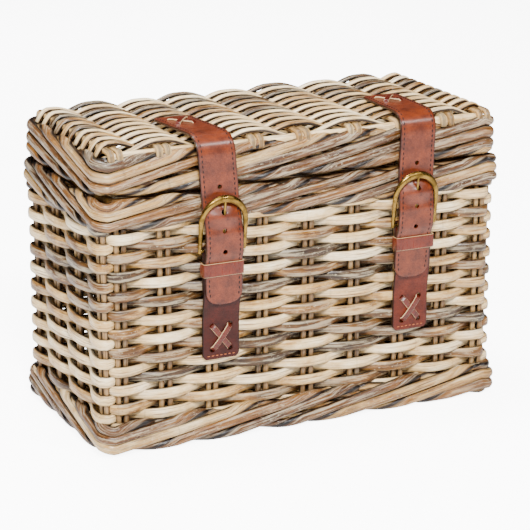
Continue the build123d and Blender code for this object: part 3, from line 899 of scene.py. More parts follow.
# --- Studio ---
@dataclass
class Studio:
    """Camera, lights, floor and surroundings."""

    azimuth: float = -25.6
    elevation: float = 16.4
    distance: float = 2.478
    target: tuple[float, float, float] = (0.0, 0.0, 0.18)
    lens: float = 145.5
    shift: tuple[float, float] = (0.0074, -0.0387)

    def build(self) -> None:
        """Sets up everything round the trunk."""
        self.place_camera()
        self.lay_floor()
        self.light("key", (-0.7, -2.0, 1.9), 0.5, 155.0)
        self.light("side", (-2.4, -0.5, 1.2), 0.8, 44.0).visible_glossy = False
        self.light("fill", (1.1, -1.9, 1.85), 0.35, 46.0)
        self.light("top", (-0.3, 0.4, 2.6), 0.7, 80.0)
        self.light("back", (0.6, 2.4, 1.4), 1.2, 40.0).visible_glossy = False
        self.surround()

    def surround(self) -> None:
        """Adds a white surrounding that is brighter to look at than it shines."""
        world = bpy.data.worlds.new("surroundings")
        world.use_nodes = True
        s = Sketch(world.node_tree)
        background = world.node_tree.nodes["Background"]
        background.inputs["Color"].default_value = (1.0, 1.0, 1.0, 1.0)
        seen = s.add("ShaderNodeLightPath").outputs["Is Camera Ray"]
        s.feed(background.inputs["Strength"], s.math("ADD", s.math("MULTIPLY", seen, 9.0), 0.06))
        bpy.context.scene.world = world

    def place_camera(self) -> None:
        """Adds the camera at the matching viewpoint."""
        az, el = math.radians(self.azimuth), math.radians(self.elevation)
        back = Vector((math.sin(az) * math.cos(el), -math.cos(az) * math.cos(el), math.sin(el)))
        data = bpy.data.cameras.new("camera")
        data.lens = self.lens
        data.sensor_width = 36.0
        data.shift_x, data.shift_y = self.shift
        camera = bpy.data.objects.new("camera", data)
        camera.location = Vector(self.target) + back * self.distance
        camera.rotation_mode = "QUATERNION"
        camera.rotation_quaternion = (-back).to_track_quat("-Z", "Y")
        bpy.context.scene.collection.objects.link(camera)
        bpy.context.scene.camera = camera

    def light(
        self, name: str, place: tuple[float, float, float], size: float, power: float
    ) -> bpy.types.Object:
        """Adds and returns a large soft light that points at the trunk."""
        data = bpy.data.lights.new(name, "AREA")
        data.size = size
        data.energy = power
        lamp = bpy.data.objects.new(name, data)
        lamp.location = place
        lamp.rotation_mode = "QUATERNION"
        lamp.rotation_quaternion = (Vector(self.target) - Vector(place)).to_track_quat("-Z", "Y")
        bpy.context.scene.collection.objects.link(lamp)
        return lamp

    def lay_floor(self) -> None:
        """Adds the pale floor."""
        deselect()
        bpy.ops.mesh.primitive_plane_add(size=60.0, location=(0, 0, -0.0002))
        floor = settle(bpy.context.object, "floor")
        material, s, shader = new_material("floor_paper")
        place = s.add("ShaderNodeTexCoord").outputs["Object"]
        s.feed(shader.inputs["Base Color"], s.ramp(s.noise(place, 4.0), ((0.2, "#F8F8F8"), (0.8, "#FCFCFC"))))
        shader.inputs["Roughness"].default_value = 0.9
        seen = s.add("ShaderNodeLightPath").outputs["Is Camera Ray"]
        shader.inputs["Emission Color"].default_value = (1.0, 1.0, 1.0, 1.0)
        s.feed(shader.inputs["Emission Strength"], s.math("MULTIPLY", seen, 7.8))
        floor.data.materials.append(material)


# --- Woven body ---
def arch(t: np.ndarray, flat: float) -> np.ndarray:
    """Wave from +1 to -1 as t goes from 0 to 1, level for a share at both ends."""
    return np.cos(math.pi * np.clip((t - flat) / (1 - 2 * flat), 0, 1))


@dataclass
class WovenWalls:
    """Upright cane pairs and the rows woven round them."""

    ring: Ring = Ring(238 * MM, 108 * MM, 8 * MM)
    stake_radius: float = 3.0 * MM
    pair_offset: float = 4.4 * MM
    half_depth: float = 3.0 * MM
    half_height: float = 6.3 * MM
    pitch: float = 10.65 * MM
    first_row: float = 9.0 * MM
    rows: int = 24
    dark_row: int = 16
    bottom: float = 5.0 * MM
    top: float = 262.0 * MM
    front_x: tuple[float, ...] = (-219, -168, -112, -51, 5, 64, 121, 176, 226)
    back_x: tuple[float, ...] = (224, 168, 112, 56, 0, -56, -112, -168, -224)
    right_y: tuple[float, ...] = (-98, -34, 34, 98)
    left_y: tuple[float, ...] = (100, 33, -35, -101)

    def stations(self) -> np.ndarray:
        """Distances along the ring of all pairs, in walking order."""
        places = [self.ring.front(x * MM) for x in self.front_x]
        places += [self.ring.right(y * MM) for y in self.right_y]
        places += [self.ring.back(x * MM) for x in self.back_x]
        places += [self.ring.left(y * MM) for y in self.left_y]
        return np.array(places)

    def build(self) -> None:
        """Makes the stakes and the rows."""
        self.build_stakes()
        self.build_rows()

    def build_stakes(self) -> None:
        """One piece of upright canes for each wall."""
        rng = np.random.default_rng(11)
        stations = self.stations()
        groups = {"front_stakes": range(0, 9), "right_stakes": range(9, 13)}
        groups.update({"back_stakes": range(13, 22), "left_stakes": range(22, 26)})
        levels = np.arange(self.bottom, self.top, 5 * MM)
        for name, members in groups.items():
            piece = StrandMesh(f"{name}_cane", 21, 10)
            for member in members:
                for side in (-1, 1):
                    s = stations[member] + side * self.pair_offset + rng.normal() * 0.4 * MM
                    foot, out = self.ring.at(np.array([s]))
                    lean = rng.normal(size=2) * 0.6 * MM
                    line = np.repeat(foot, len(levels), 0)
                    line[:, 2] = levels
                    share = np.linspace(-1, 1, len(levels))[:, None]
                    line[:, :2] += share * lean
                    girth = self.stake_radius * (1 + 0.06 * waver(rng, len(levels), 5, False))
                    piece.lay(line, np.repeat(out, len(levels), 0), girth * 1.08, girth, rng.random())
            dress(piece.build(), Finish.STAKE, "trunk", "stake_cane", name)

    def build_rows(self) -> None:
        """The rows, each of several canes that end behind a pair."""
        rng = np.random.default_rng(7)
        piece = StrandMesh("wall_weave", 31, 10)
        stations = self.stations()
        total, count = self.ring.length, len(stations)
        amplitude = self.stake_radius + self.half_depth
        samples = 300
        s = np.arange(samples) / samples * total
        for row in range(self.rows):
            order = np.argsort(stations)
            st = np.concatenate([stations[order], [stations[order[0]] + total]])
            walk = np.where(s < st[0], s + total, s)
            cell = np.clip(np.searchsorted(st, walk, side="right") - 1, 0, count - 1)
            t = (walk - st[cell]) / (st[cell + 1] - st[cell])
            sign = np.where((cell + row) % 2 == 0, 1.0, -1.0)
            wave = sign * arch(t, 0.09)
            middle, out = self.ring.at(s)
            z = self.first_row + row * self.pitch
            height = z + 0.5 * MM * waver(rng, samples, 9, True)
            line = middle + out * (wave * amplitude + 0.25 * MM * waver(rng, samples, 14, True))[:, None]
            line[:, 2] = height
            packed = np.where(middle[:, 1] > 0.1, 1.12, 1.0)
            half = packed * self.half_height * (0.94 + 0.07 * wave + 0.05 * waver(rng, samples, 8, True))
            depth = self.half_depth * (1 + 0.05 * waver(rng, samples, 8, True))
            dark = 0.2 + 0.34 * math.exp(-(((row - self.dark_row) / 4) ** 2))
            self.lay_row(piece, rng, line, out, half, depth, walk, st, row, dark)
        walls = ("front_weave", "back_weave", "left_weave", "right_weave")
        dress(piece.build(), Finish.CANE, "trunk", "cane", *walls)

    def lay_row(
        self,
        piece: StrandMesh,
        rng: np.random.Generator,
        line: np.ndarray,
        out: np.ndarray,
        half: np.ndarray,
        depth: np.ndarray,
        walk: np.ndarray,
        st: np.ndarray,
        row: int,
        dark: float,
    ) -> None:
        """Cuts one row into canes at pairs that it passes behind.

        Args:
            piece: The piece that takes the canes.
            rng: Seeded source of the draws.
            line: The row's centre line.
            out: Outward directions.
            half: Half heights.
            depth: Half depths.
            walk: Distance along the ring of each sample.
            st: Distances of the pairs.
            row: The row's number from the floor.
            dark: Share of brown and grey canes.
        """
        hidden = [k for k in range(len(st) - 1) if (k + row) % 2 == 1]
        joins = []
        k = int(rng.integers(0, 3))
        while k < len(hidden):
            joins.append(hidden[k])
            k += int(rng.integers(1, 4))
        cuts = [int(np.argmin(np.abs(walk - st[j]))) for j in joins]
        n = len(line)
        lap = 2
        for a, b in zip(cuts, cuts[1:] + [cuts[0] + n]):
            if b <= a:
                b += n
            index = np.arange(a - lap, b + lap) % n
            inset = out[index] * (rng.random() * 0.5 * MM)
            tone = cane_tone(rng, dark)
            piece.lay(line[index] - inset, out[index], half[index], depth[index], tone, False, 2.5)


class BorderKind(Enum):
    """The trunk's three rope-like borders.

    Each is its node, body, thickness, strands, half width, end swell, seed and shade.
    """

    FOOT = ("foot_border", "trunk", 17.0, 5, 6.1, 0.0, 41, 0.0)
    RIM = ("rim_border", "trunk", 16.0, 5, 5.9, 5.0, 42, 0.08)
    LID = ("lid_border", "lid", 17.0, 6, 6.3, 4.0, 43, 0.14)


@dataclass
class RopeBorder:
    """Thick canes laid slantwise round a flat section, all the way round the trunk."""

    kind: BorderKind
    corner: float = 11 * MM
    half_depth: float = 5.2 * MM
    turns: int = 1
    end_slope: float = -0.2
    bulge: float = 1.3 * MM

    @property
    def shade(self) -> float:
        """What is added to the tone of this border's canes."""
        return self.kind.value[-1]

    def build(self) -> None:
        """Makes the border."""
        node, body, thick, strands, wide, swell_x, seed, _ = self.kind.value
        low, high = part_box(node)
        thick *= MM
        ring = Ring(high.x + swell_x * MM - thick / 2, high.y - thick / 2, self.corner)
        rise = (high.z - low.z) / 2 - self.half_depth
        reach = thick / 2 - self.half_depth - self.bulge / 2
        middle_z = (high.z + low.z) / 2
        straight = 2 * (rise - reach)
        around = 2 * straight + TAU * reach
        steps = np.concatenate([[0.0], np.cumsum(ring.runs)])
        rng = np.random.default_rng(seed)
        piece = StrandMesh(f"{node}_cane", seed + 10, 14)
        samples = 560
        s = np.arange(samples) / samples * ring.length
        part = np.clip(np.searchsorted(steps, s, side="right") - 1, 0, 7)
        on_long = np.isin(part, (0, 4))
        level = self.end_slope * ring.length * np.mean(~on_long)
        climb = (self.turns * around - level) / (ring.length * np.mean(on_long))
        for j in range(strands):
            proud = rng.uniform(-0.8, 0.8) * MM
            rise_at = np.where(on_long, climb, self.end_slope) * ring.length / samples
            share = np.cumsum(rise_at) / around + j / strands + 0.045 * waver(rng, samples, 6, True)
            q = np.mod(share, 1.0) * around
            lift, side, turn = self.section(q, straight, reach, around)
            middle, out = ring.at(s)
            swell = 0.5 * MM * waver(rng, samples, 9, True)
            crown = (self.bulge * (0.5 - (lift / rise) ** 2) + proud) * np.cos(turn)
            line = middle + out * (side + crown + swell * np.cos(turn) * 0.6)[:, None]
            line[:, 2] = middle_z + lift + swell * np.sin(turn) * 0.6
            face = out * np.cos(turn)[:, None]
            face[:, 2] = np.sin(turn)
            half = wide * MM * (1 + 0.1 * rng.normal() * 0.7 + 0.1 * waver(rng, samples, 8, True))
            self.lay_strand(piece, rng, line, face, half, np.flatnonzero(np.cos(turn) < -0.7))
        dress(piece.build(), Finish.BORDER, body, "border_cane", node)

    def section(self, q: np.ndarray, straight: float, reach: float, around: float) -> tuple:
        """Places on the flat section.

        Args:
            q: Distance round the section, from the middle of its outer side.
            straight: Length of its flat sides.
            reach: Radius of its ends.
            around: The whole way round.

        Returns:
            Height, outward shift and facing angle.
        """
        half, bend = straight / 2, math.pi * reach
        marks = [half, half + bend, half + bend + straight, half + 2 * bend + straight]
        lift, side, turn = np.zeros_like(q), np.zeros_like(q), np.zeros_like(q)
        a = q <= marks[0]
        lift[a], side[a], turn[a] = q[a], reach, 0.0
        b = (q > marks[0]) & (q <= marks[1])
        angle = (q[b] - marks[0]) / reach
        lift[b], side[b], turn[b] = half + reach * np.sin(angle), reach * np.cos(angle), angle
        c = (q > marks[1]) & (q <= marks[2])
        lift[c], side[c], turn[c] = half - (q[c] - marks[1]), -reach, math.pi
        d = (q > marks[2]) & (q <= marks[3])
        angle = (q[d] - marks[2]) / reach
        lift[d], side[d], turn[d] = -half - reach * np.sin(angle), -reach * np.cos(angle), math.pi + angle
        e = q > marks[3]
        lift[e], side[e], turn[e] = q[e] - around, reach, TAU
        return lift, side, turn

    def lay_strand(
        self,
        piece: StrandMesh,
        rng: np.random.Generator,
        line: np.ndarray,
        face: np.ndarray,
        half: np.ndarray,
        inner: np.ndarray,
    ) -> None:
        """Cuts a strand into canes that taper at their ends, where they pass the inner side.

        Args:
            piece: The piece that takes the canes.
            rng: Seeded source of the draws.
            line: The strand's centre line.
            face: Directions away from the section's middle.
            half: Half widths.
            inner: Numbers of the points on the inner side.
        """
        n = len(line)
        start = int(rng.choice(inner))
        cuts = [0]
        for place in np.sort((inner - start) % n):
            if place < n - 60 and place - cuts[-1] > rng.integers(60, 170):
                cuts.append(int(place))
        cuts = [start + c for c in [*cuts, n]]
        for a, b in zip(cuts[:-1], cuts[1:]):
            index = np.arange(a - 3, b + 4) % n
            taper = np.ones(len(index))
            ends = np.linspace(0.5, 1.0, 7)
            taper[:7] = ends
            taper[-7:] = ends[::-1]
            tone = float(rng.uniform(0.0, 0.8)) + self.shade
            wide = half[index] * taper
            piece.lay(line[index], face[index], wide, self.half_depth * taper, tone, False, 2.0)


# --- Lid ---
@dataclass
class LidPanel:
    """Rib pairs over the lid, the rows woven through them and the pale edge rows."""

    rib_x: tuple[float, ...] = (-222, -167, -112, -58, -1, 62, 122, 180, 228)
    rib_radius: float = 3.7 * MM
    pair_offset: float = 4.9 * MM
    half_depth: float = 2.6 * MM
    half_width: float = 4.9 * MM
    rows: int = 21

    def build(self) -> None:
        """Makes the ribs and the rows."""
        _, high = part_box("lid_weave")
        self.top = high.z
        self.rib_z = high.z - 2 * self.half_depth - self.rib_radius
        _, self.border_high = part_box("lid_border")
        self.build_ribs()
        self.build_rows()

    def build_ribs(self) -> None:
        """Ribs whose ends turn down into the border."""
        rng = np.random.default_rng(51)
        piece = StrandMesh("lid_ribs_cane", 52, 10)
        end = self.border_high.y - 5.5 * MM
        drop = 5 * MM
        arc = np.linspace(0, math.pi / 2, 6)
        for x in self.rib_x:
            for side in (-1, 1):
                y = np.concatenate(
                    [-(end - drop) - drop * np.sin(arc[::-1]), np.linspace(-end + drop, end - drop, 42)[1:-1],
                     (end - drop) + drop * np.sin(arc)]
                )
                z = np.concatenate(
                    [self.rib_z - drop + drop * np.cos(arc[::-1]), np.full(40, self.rib_z),
                     self.rib_z - drop + drop * np.cos(arc)]
                )
                y = np.concatenate([[y[0]], y, [y[-1]]])
                z = np.concatenate([[z[0] - 6 * MM], z, [z[-1] - 6 * MM]])
                line = np.stack([np.full(len(y), x * MM + side * self.pair_offset), y, z], 1)
                line[:, 0] += 0.5 * MM * waver(rng, len(y), 4, False)
                facing = np.tile([1.0, 0.0, 0.0], (len(y), 1))
                piece.lay(line, facing, self.rib_radius, self.rib_radius, rng.random() * 0.7)
        dress(piece.build(), Finish.RIB, "lid", "stake_cane", "lid_ribs")

    def build_rows(self) -> None:
        """Rows over and under the ribs, turned down at both ends, and a flat row at the front and back."""
        rng = np.random.default_rng(53)
        piece = StrandMesh("lid_weave_cane", 54, 10)
        st = np.array(self.rib_x) * MM
        end = self.border_high.x - 7 * MM
        edge = self.border_high.y - 16 * MM
        ys = np.linspace(-edge, edge, self.rows)
        amplitude = self.rib_radius + self.half_depth
        x = np.linspace(-end, end, 116)
        bounds = np.concatenate([[2 * st[0] - st[1]], st, [2 * st[-1] - st[-2]]])
        cell = np.clip(np.searchsorted(bounds, x, side="right") - 1, 0, len(bounds) - 2)
        t = (x - bounds[cell]) / (bounds[cell + 1] - bounds[cell])
        for row, y in enumerate(ys):
            sign = np.where((cell + row) % 2 == 0, 1.0, -1.0)
            wave = sign * arch(t, 0.08)
            fall = np.clip((np.abs(x) - (end - 13 * MM)) / (13 * MM), 0, 1) ** 2
            z = self.rib_z + wave * amplitude * (1 - 0.6 * fall) - fall * 9 * MM
            z = np.minimum(z, self.top - self.half_depth)
            line = np.stack([x, np.full(len(x), y) + 0.6 * MM * waver(rng, len(x), 8, False), z], 1)
            slope = np.gradient(z, x)
            facing = np.stack([-slope, np.zeros_like(x), np.ones_like(x)], 1)
            half = self.half_width * (0.96 + 0.06 * wave + 0.05 * waver(rng, len(x), 6, False))
            tone = cane_tone(rng)
            piece.lay(line, facing, half, self.half_depth, tone, False, 2.4)
        for side in (-1, 1):
            line = np.stack(
                [x, np.full(len(x), side * (edge + 5.5 * MM)),
                 np.full(len(x), self.rib_z - 6.5 * MM) + 0.8 * MM * waver(rng, len(x), 6, False)], 1
            )
            line[:, 2] -= np.clip((np.abs(x) - (end - 25 * MM)) / (25 * MM), 0, 1) ** 2 * 9 * MM
            facing = np.tile([0.0, side * 1.0, 0.3], (len(x), 1))
            piece.lay(line, facing, 6.0 * MM, 2.2 * MM, 0.1, False, 2.6)
        dress(piece.build(), Finish.CANE, "lid", "cane", "lid_weave")


@dataclass
class BasePanel:
    """Woven floor of the trunk and its ribs."""

    half_depth: float = 2.6 * MM
    rows: int = 20

    def build(self) -> None:
        """Makes the ribs and the rows."""
        low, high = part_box("base_weave")
        _, rib_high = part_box("base_ribs")
        rng = np.random.default_rng(61)
        radius = 3.4 * MM
        rib_z = high.z - 2 * self.half_depth - radius
        ribs = StrandMesh("base_ribs_cane", 62, 10)
        st = np.arange(-168, 169, 56) * MM
        reach = rib_high.y - 1 * MM
        y = np.linspace(-reach, reach, 40)
        for x in st:
            for side in (-1, 1):
                line = np.stack([np.full(len(y), x + side * 4.8 * MM), y, np.full(len(y), rib_z)], 1)
                ribs.lay(line, np.tile([0.0, 0.0, 1.0], (len(y), 1)), radius, radius, rng.random())
        dress(ribs.build(), Finish.STAKE, "trunk", "stake_cane", "base_ribs")
        rows = StrandMesh("base_weave_cane", 63, 8)
        end = high.x + 4 * MM
        x = np.linspace(-end, end, 100)
        bounds = np.concatenate([[st[0] - 56 * MM], st, [st[-1] + 56 * MM]])
        cell = np.clip(np.searchsorted(bounds, x, side="right") - 1, 0, len(bounds) - 2)
        t = (x - bounds[cell]) / (bounds[cell + 1] - bounds[cell])
        for row, y0 in enumerate(np.linspace(low.y + 5 * MM, high.y - 5 * MM, self.rows)):
            wave = np.where((cell + row) % 2 == 0, 1.0, -1.0) * arch(t, 0.08)
            z = rib_z + wave * (radius + self.half_depth)
            line = np.stack([x, np.full(len(x), y0), z], 1)
            facing = np.stack([-np.gradient(z, x), np.zeros_like(x), np.ones_like(x)], 1)
            rows.lay(line, facing, 4.9 * MM, self.half_depth, float(rng.beta(1.5, 2.2)), False, 2.4)
        dress(rows.build(), Finish.CANE, "trunk", "cane", "base_weave")


@dataclass
class PoleFrame:
    """The poles inside, which keep their CAD shape."""

    nodes: tuple[str, ...] = ("bottom_frame", "corner_posts", "rim_frame", "lid_frame")

    def build(self) -> None:
        """Gives the CAD nodes the pole finish."""
        for name in self.nodes:
            node = frame_node(name)
            node.data.materials.clear()
            node.data.materials.append(Finish.POLE.material)
            LOG.info("%s: kept, pole finish", name)


def frame_node(name: str) -> bpy.types.Object:
    """The CAD node's object."""
    return FRAME["nodes"][name]


@dataclass
class HingeWork:
    """Cane rod along the back seam and the cane windings that hold it."""

    turns: int = 4
    half_width: float = 1.75 * MM
    half_depth: float = 0.85 * MM

    def build(self) -> None:
        """Makes the rod and both sets of windings."""
        low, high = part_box("hinge_rod")
        rng = np.random.default_rng(71)
        y, z = (low.y + high.y) / 2, (low.z + high.z) / 2
        radius = (high.z - low.z) / 2
        rod = StrandMesh("hinge_rod_cane", 72, 14)
        x = np.linspace(low.x, high.x, 90)
        line = np.stack([x, np.full(len(x), y), np.full(len(x), z)], 1)
        rod.lay(line, np.tile([0.0, 0.0, 1.0], (len(x), 1)), radius, radius, 0.5, False, 2.0)
        dress(rod.build(), Finish.STAKE, "trunk", "stake_cane", "hinge_rod")
        self.windings("body_hinge_loops", "trunk", (-169, -139, -15, 15, 139, 169), -1, (y, z), radius, rng)
        self.windings("lid_hinge_loops", "lid", (-154, 0, 154), 1, (y, z), radius + 0.1 * MM, rng)

    def windings(
        self,
        node: str,
        body: str,
        places: tuple[float, ...],
        way: int,
        axis: tuple[float, float],
        radius: float,
        rng: np.random.Generator,
    ) -> None:
        """Turns of flat cane round the rod and down, or up, over a border.

        Args:
            node: The CAD node that they stand for.
            body: The body that they ride on.
            places: Middles of the windings along X, in millimetres.
            way: -1 for down over the rim border, 1 for up over the lid border.
            axis: Y and Z of the rod's middle.
            radius: Radius that the cane lies on.
            rng: Seeded source of the draws.
        """
        low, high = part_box(node)
        piece = StrandMesh(f"{node}_cane", 73, 8)
        r = radius + self.half_depth
        tip = high.z if way > 0 else low.z
        face = low.y + self.half_depth
        angle = np.linspace(-0.15 * math.pi, math.pi, 18)
        loop_y = axis[0] + r * np.cos(angle)
        loop_z = axis[1] - way * r * np.sin(angle)
        end_z = np.linspace(axis[1] + way * r * 0.45, tip, 8)
        far_y = np.linspace(axis[0] + r * 0.7, face + 2.2 * MM, 8)
        y = np.concatenate([np.full(8, face), loop_y[::-1], far_y])
        z = np.concatenate([end_z[::-1], loop_z[::-1], end_z])
        for x0 in places:
            for k in range(self.turns):
                x = x0 * MM + (k - (self.turns - 1) / 2) * 2 * self.half_width
                line = np.stack([np.full(len(y), x), y, z], 1)
                out = np.stack([np.zeros(len(y)), np.gradient(z), -np.gradient(y)], 1)
                tone = 0.25 + 0.3 * rng.random()
                piece.lay(line, out, self.half_width * 0.97, self.half_depth, tone, False, 3.0)
        dress(piece.build(), Finish.BORDER, body, "border_cane", node)


# --- Leather and brass ---
def rounded(corners: list[tuple[float, float]], radius: float, step: float) -> np.ndarray:
    """Samples a flat run of straight lines with rounded corners.

    Args:
        corners: Corner points.
        radius: Radius at each inner corner.
        step: Distance between samples.

    Returns:
        The samples, one a row.
    """
    points = [np.array(c, float) for c in corners]
    line = [points[0]]
    for before, here, after in zip(points, points[1:], points[2:]):
        a, b = before - here, after - here
        la, lb = np.linalg.norm(a), np.linalg.norm(b)
        bend = math.pi - math.acos(float(np.clip(a @ b / la / lb, -1, 1)))
        cut = min(radius * math.tan(bend / 2), 0.49 * la, 0.49 * lb)
        start, stop = here + a / la * cut, here + b / lb * cut
        for t in np.linspace(0, 1, 9):
            line.append((1 - t) ** 2 * start + 2 * t * (1 - t) * here + t**2 * stop)
    line.append(points[-1])
    dense = np.array(line)
    keep = np.concatenate([[True], np.linalg.norm(np.diff(dense, axis=0), axis=1) > 1e-7])
    dense = dense[keep]
    along = distances(dense)
    count = max(2, int(round(along[-1] / step)) + 1)
    return sample(np.linspace(0, along[-1], count), along, dense)


@dataclass
class Ribbon:
    """Flat strip of leather, extruded row by row along a route and given its thickness."""

    name: str
    route: np.ndarray
    across: tuple[float, float, float]
    half_width: float
    thickness: float
    columns: int = 8
    tip_radius: float = 0.0
    chamfer: float = 0.0
    edge_bevel: float = 0.6 * MM
    closed: bool = False
    crown: np.ndarray | None = None

    def build(self) -> bpy.types.Object:
        """Makes the strip.

        Returns:
            The new object, at the origin.
        """
        deselect()
        bpy.ops.mesh.primitive_grid_add(x_subdivisions=self.columns, y_subdivisions=1, size=2.0)
        obj = settle(bpy.context.object, self.name)
        axis = np.array(self.across)
        mesh = obj.data
        co = points_of(obj)
        row = (co[:, 1] > 0).astype(int)
        move_points(obj, self.route[row] + np.outer(co[:, 0], axis) * self.half_width)
        for vertex in mesh.vertices:
            vertex.select = False
        bpy.ops.object.mode_set(mode="EDIT")
        bpy.ops.mesh.select_mode(type="VERT")
        bpy.ops.mesh.select_all(action="DESELECT")
        bpy.ops.object.mode_set(mode="OBJECT")
        for vertex, end in zip(mesh.vertices, row):
            vertex.select = bool(end)
        bpy.ops.object.mode_set(mode="EDIT")
        for before, here in zip(self.route[1:-1], self.route[2:]):
            bpy.ops.mesh.extrude_edges_move(TRANSFORM_OT_translate={"value": tuple(here - before)})
        if self.closed:
            bpy.ops.mesh.select_all(action="SELECT")
            bpy.ops.mesh.remove_doubles(threshold=1e-5)
        bpy.ops.mesh.select_all(action="SELECT")
        bpy.ops.mesh.normals_make_consistent(inside=False)
        bpy.ops.object.mode_set(mode="OBJECT")
        self.shape_ends(obj)
        self.raise_crown(obj)
        finish_modifier(obj, "SOLIDIFY", thickness=self.thickness, offset=0.0)
        limit = math.radians(50)
        finish_modifier(
            obj, "BEVEL", width=self.edge_bevel, segments=2, limit_method="ANGLE", angle_limit=limit
        )
        self.map_hide(obj)
        soften(obj, 35)
        return obj

    def places(self, co: np.ndarray) -> tuple[np.ndarray, np.ndarray]:
        """Distance along the route and across it of mesh points.

        Args:
            co: Mesh points.

        Returns:
            Along and across, in metres.
        """
        axis = np.array(self.across)
        along = distances(self.route)
        flat_route = self.route - np.outer(self.route @ axis, axis)
        way = unit(np.gradient(flat_route, axis=0))
        flat = co - np.outer(co @ axis, axis)
        near = np.argmin(np.linalg.norm(flat[:, None, :] - flat_route[None, :, :], axis=2), axis=1)
        u = along[near] + np.sum((flat - flat_route[near]) * way[near], axis=1)
        return u, co @ axis - np.interp(u, along, self.route @ axis)

    def shape_ends(self, obj: bpy.types.Object) -> None:
        """Rounds the far end and clips the near end's corners."""
        if not (self.tip_radius or self.chamfer):
            return
        axis = np.array(self.across)
        co = points_of(obj)
        u, v = self.places(co)
        total = float(distances(self.route)[-1])
        limit = np.full(len(co), self.half_width)
        if self.tip_radius:
            left = np.clip(total - u, 0, self.tip_radius)
            curve = np.sqrt(np.maximum(self.tip_radius**2 - (self.tip_radius - left) ** 2, 0))
            limit = np.minimum(limit, self.half_width - self.tip_radius + curve)
        if self.chamfer:
            limit = np.minimum(limit, self.half_width - np.clip(self.chamfer - u, 0, None))
        shift = v * limit / self.half_width - v
        move_points(obj, co + np.outer(shift, axis))

    def raise_crown(self, obj: bpy.types.Object) -> None:
        """Bulges the strip's middle outward by the crown at each row."""
        if self.crown is None:
            return
        co = points_of(obj)
        u, v = self.places(co)
        along = distances(self.route)
        lift = np.interp(u, along, self.crown) * (1 - (v / self.half_width) ** 2)
        way = unit(np.gradient(self.route, axis=0))
        outward = unit(np.cross(sample(u, along, way), np.array(self.across)))
        move_points(obj, co + outward * lift[:, None])

    def map_hide(self, obj: bpy.types.Object) -> None:
        """Writes the hide map: along and across, in metres."""
        u, v = self.places(points_of(obj))
        for layer in list(obj.data.uv_layers):
            obj.data.uv_layers.remove(layer)
        layer = obj.data.uv_layers.new(name="hide")
        index = np.zeros(len(obj.data.loops), np.int32)
        obj.data.loops.foreach_get("vertex_index", index)
        layer.data.foreach_set("uv", np.stack([u[index], v[index]], 1).astype(np.float32).ravel())


def punch(obj: bpy.types.Object, places: list[Vector], radius: float, depth: float) -> None:
    """Cuts round holes through a strap.

    Args:
        obj: The strap.
        places: Middles of the holes.
        radius: Their radius.
        depth: Length of the cutter, along Y.
    """
    for place in places:
        deselect()
        bpy.ops.mesh.primitive_cylinder_add(
            vertices=20, radius=radius, depth=depth, location=place, rotation=(math.pi / 2, 0, 0)
        )
        cutter = bpy.context.object
        finish_modifier(obj, "BOOLEAN", operation="DIFFERENCE", object=cutter, solver="EXACT")
        bpy.data.objects.remove(cutter)


def join_copies(name: str, source: bpy.types.Object, places: list[tuple]) -> bpy.types.Object:
    """Copies one small shape to many places and joins the copies.

    Args:
        name: The new piece's name.
        source: The shape, at the origin; it is removed.
        places: For each copy its place and its three axes.

    Returns:
        The new object.
    """
    base = points_of(source)
    faces = [tuple(p.vertices) for p in source.data.polygons]
    points, polygons = [], []
    for place, x_axis, y_axis, z_axis in places:
        turn = np.stack([x_axis, y_axis, z_axis])
        start = len(points) * len(base)
        points.append(base @ turn + np.array(place))
        polygons += [tuple(i + start for i in f) for f in faces]
    mesh = bpy.data.meshes.new(name)
    mesh.from_pydata(np.concatenate(points).tolist(), [], polygons)
    mesh.update()
    mesh.shade_smooth()
    obj = bpy.data.objects.new(name, mesh)
    bpy.context.scene.collection.objects.link(obj)
    bpy.data.objects.remove(source)
    return obj


def stitch_shape(length: float, width: float, height: float) -> bpy.types.Object:
    """One stitch: a small flattened bead, long along X.

    Args:
        length: Its length.
        width: Its width.
        height: Its height above the leather, doubled.

    Returns:
        The bead at the origin.
    """
    deselect()
    bpy.ops.mesh.primitive_uv_sphere_add(segments=6, ring_count=4, radius=0.5, rotation=(0, math.pi / 2, 0))
    bead = settle(bpy.context.object, "stitch")
    bead.scale = (length, width, height)
    return settle(bead, "stitch")


def bent_rod(
    name: str, points: np.ndarray, radii: np.ndarray, closed: bool = False, resolution: int = 5
) -> bpy.types.Object:
    """Round rod along a smooth curve, made a mesh.

    Args:
        name: The piece's name.
        points: The curve's points.
        radii: Radius at each point.
        closed: True for a ring.
        resolution: Smoothness of the section.

    Returns:
        The mesh object at the origin.
    """
    deselect()
    curve = bpy.data.curves.new(name, "CURVE")
    curve.dimensions = "3D"
    curve.bevel_depth = 1.0
    curve.bevel_resolution = resolution
    curve.use_fill_caps = True
    spline = curve.splines.new("POLY")
    spline.points.add(len(points) - 1)
    for knot, place, radius in zip(spline.points, points, radii):
        knot.co = (*place, 1.0)
        knot.radius = float(radius)
    spline.use_cyclic_u = closed
    obj = bpy.data.objects.new(name, curve)
    bpy.context.scene.collection.objects.link(obj)
    activate(obj)
    bpy.ops.object.convert(target="MESH")
    obj = bpy.context.object
    bpy.ops.object.mode_set(mode="EDIT")
    bpy.ops.mesh.select_all(action="SELECT")
    bpy.ops.mesh.normals_make_consistent(inside=False)
    bpy.ops.object.mode_set(mode="OBJECT")
    soften(obj, 45)
    return obj


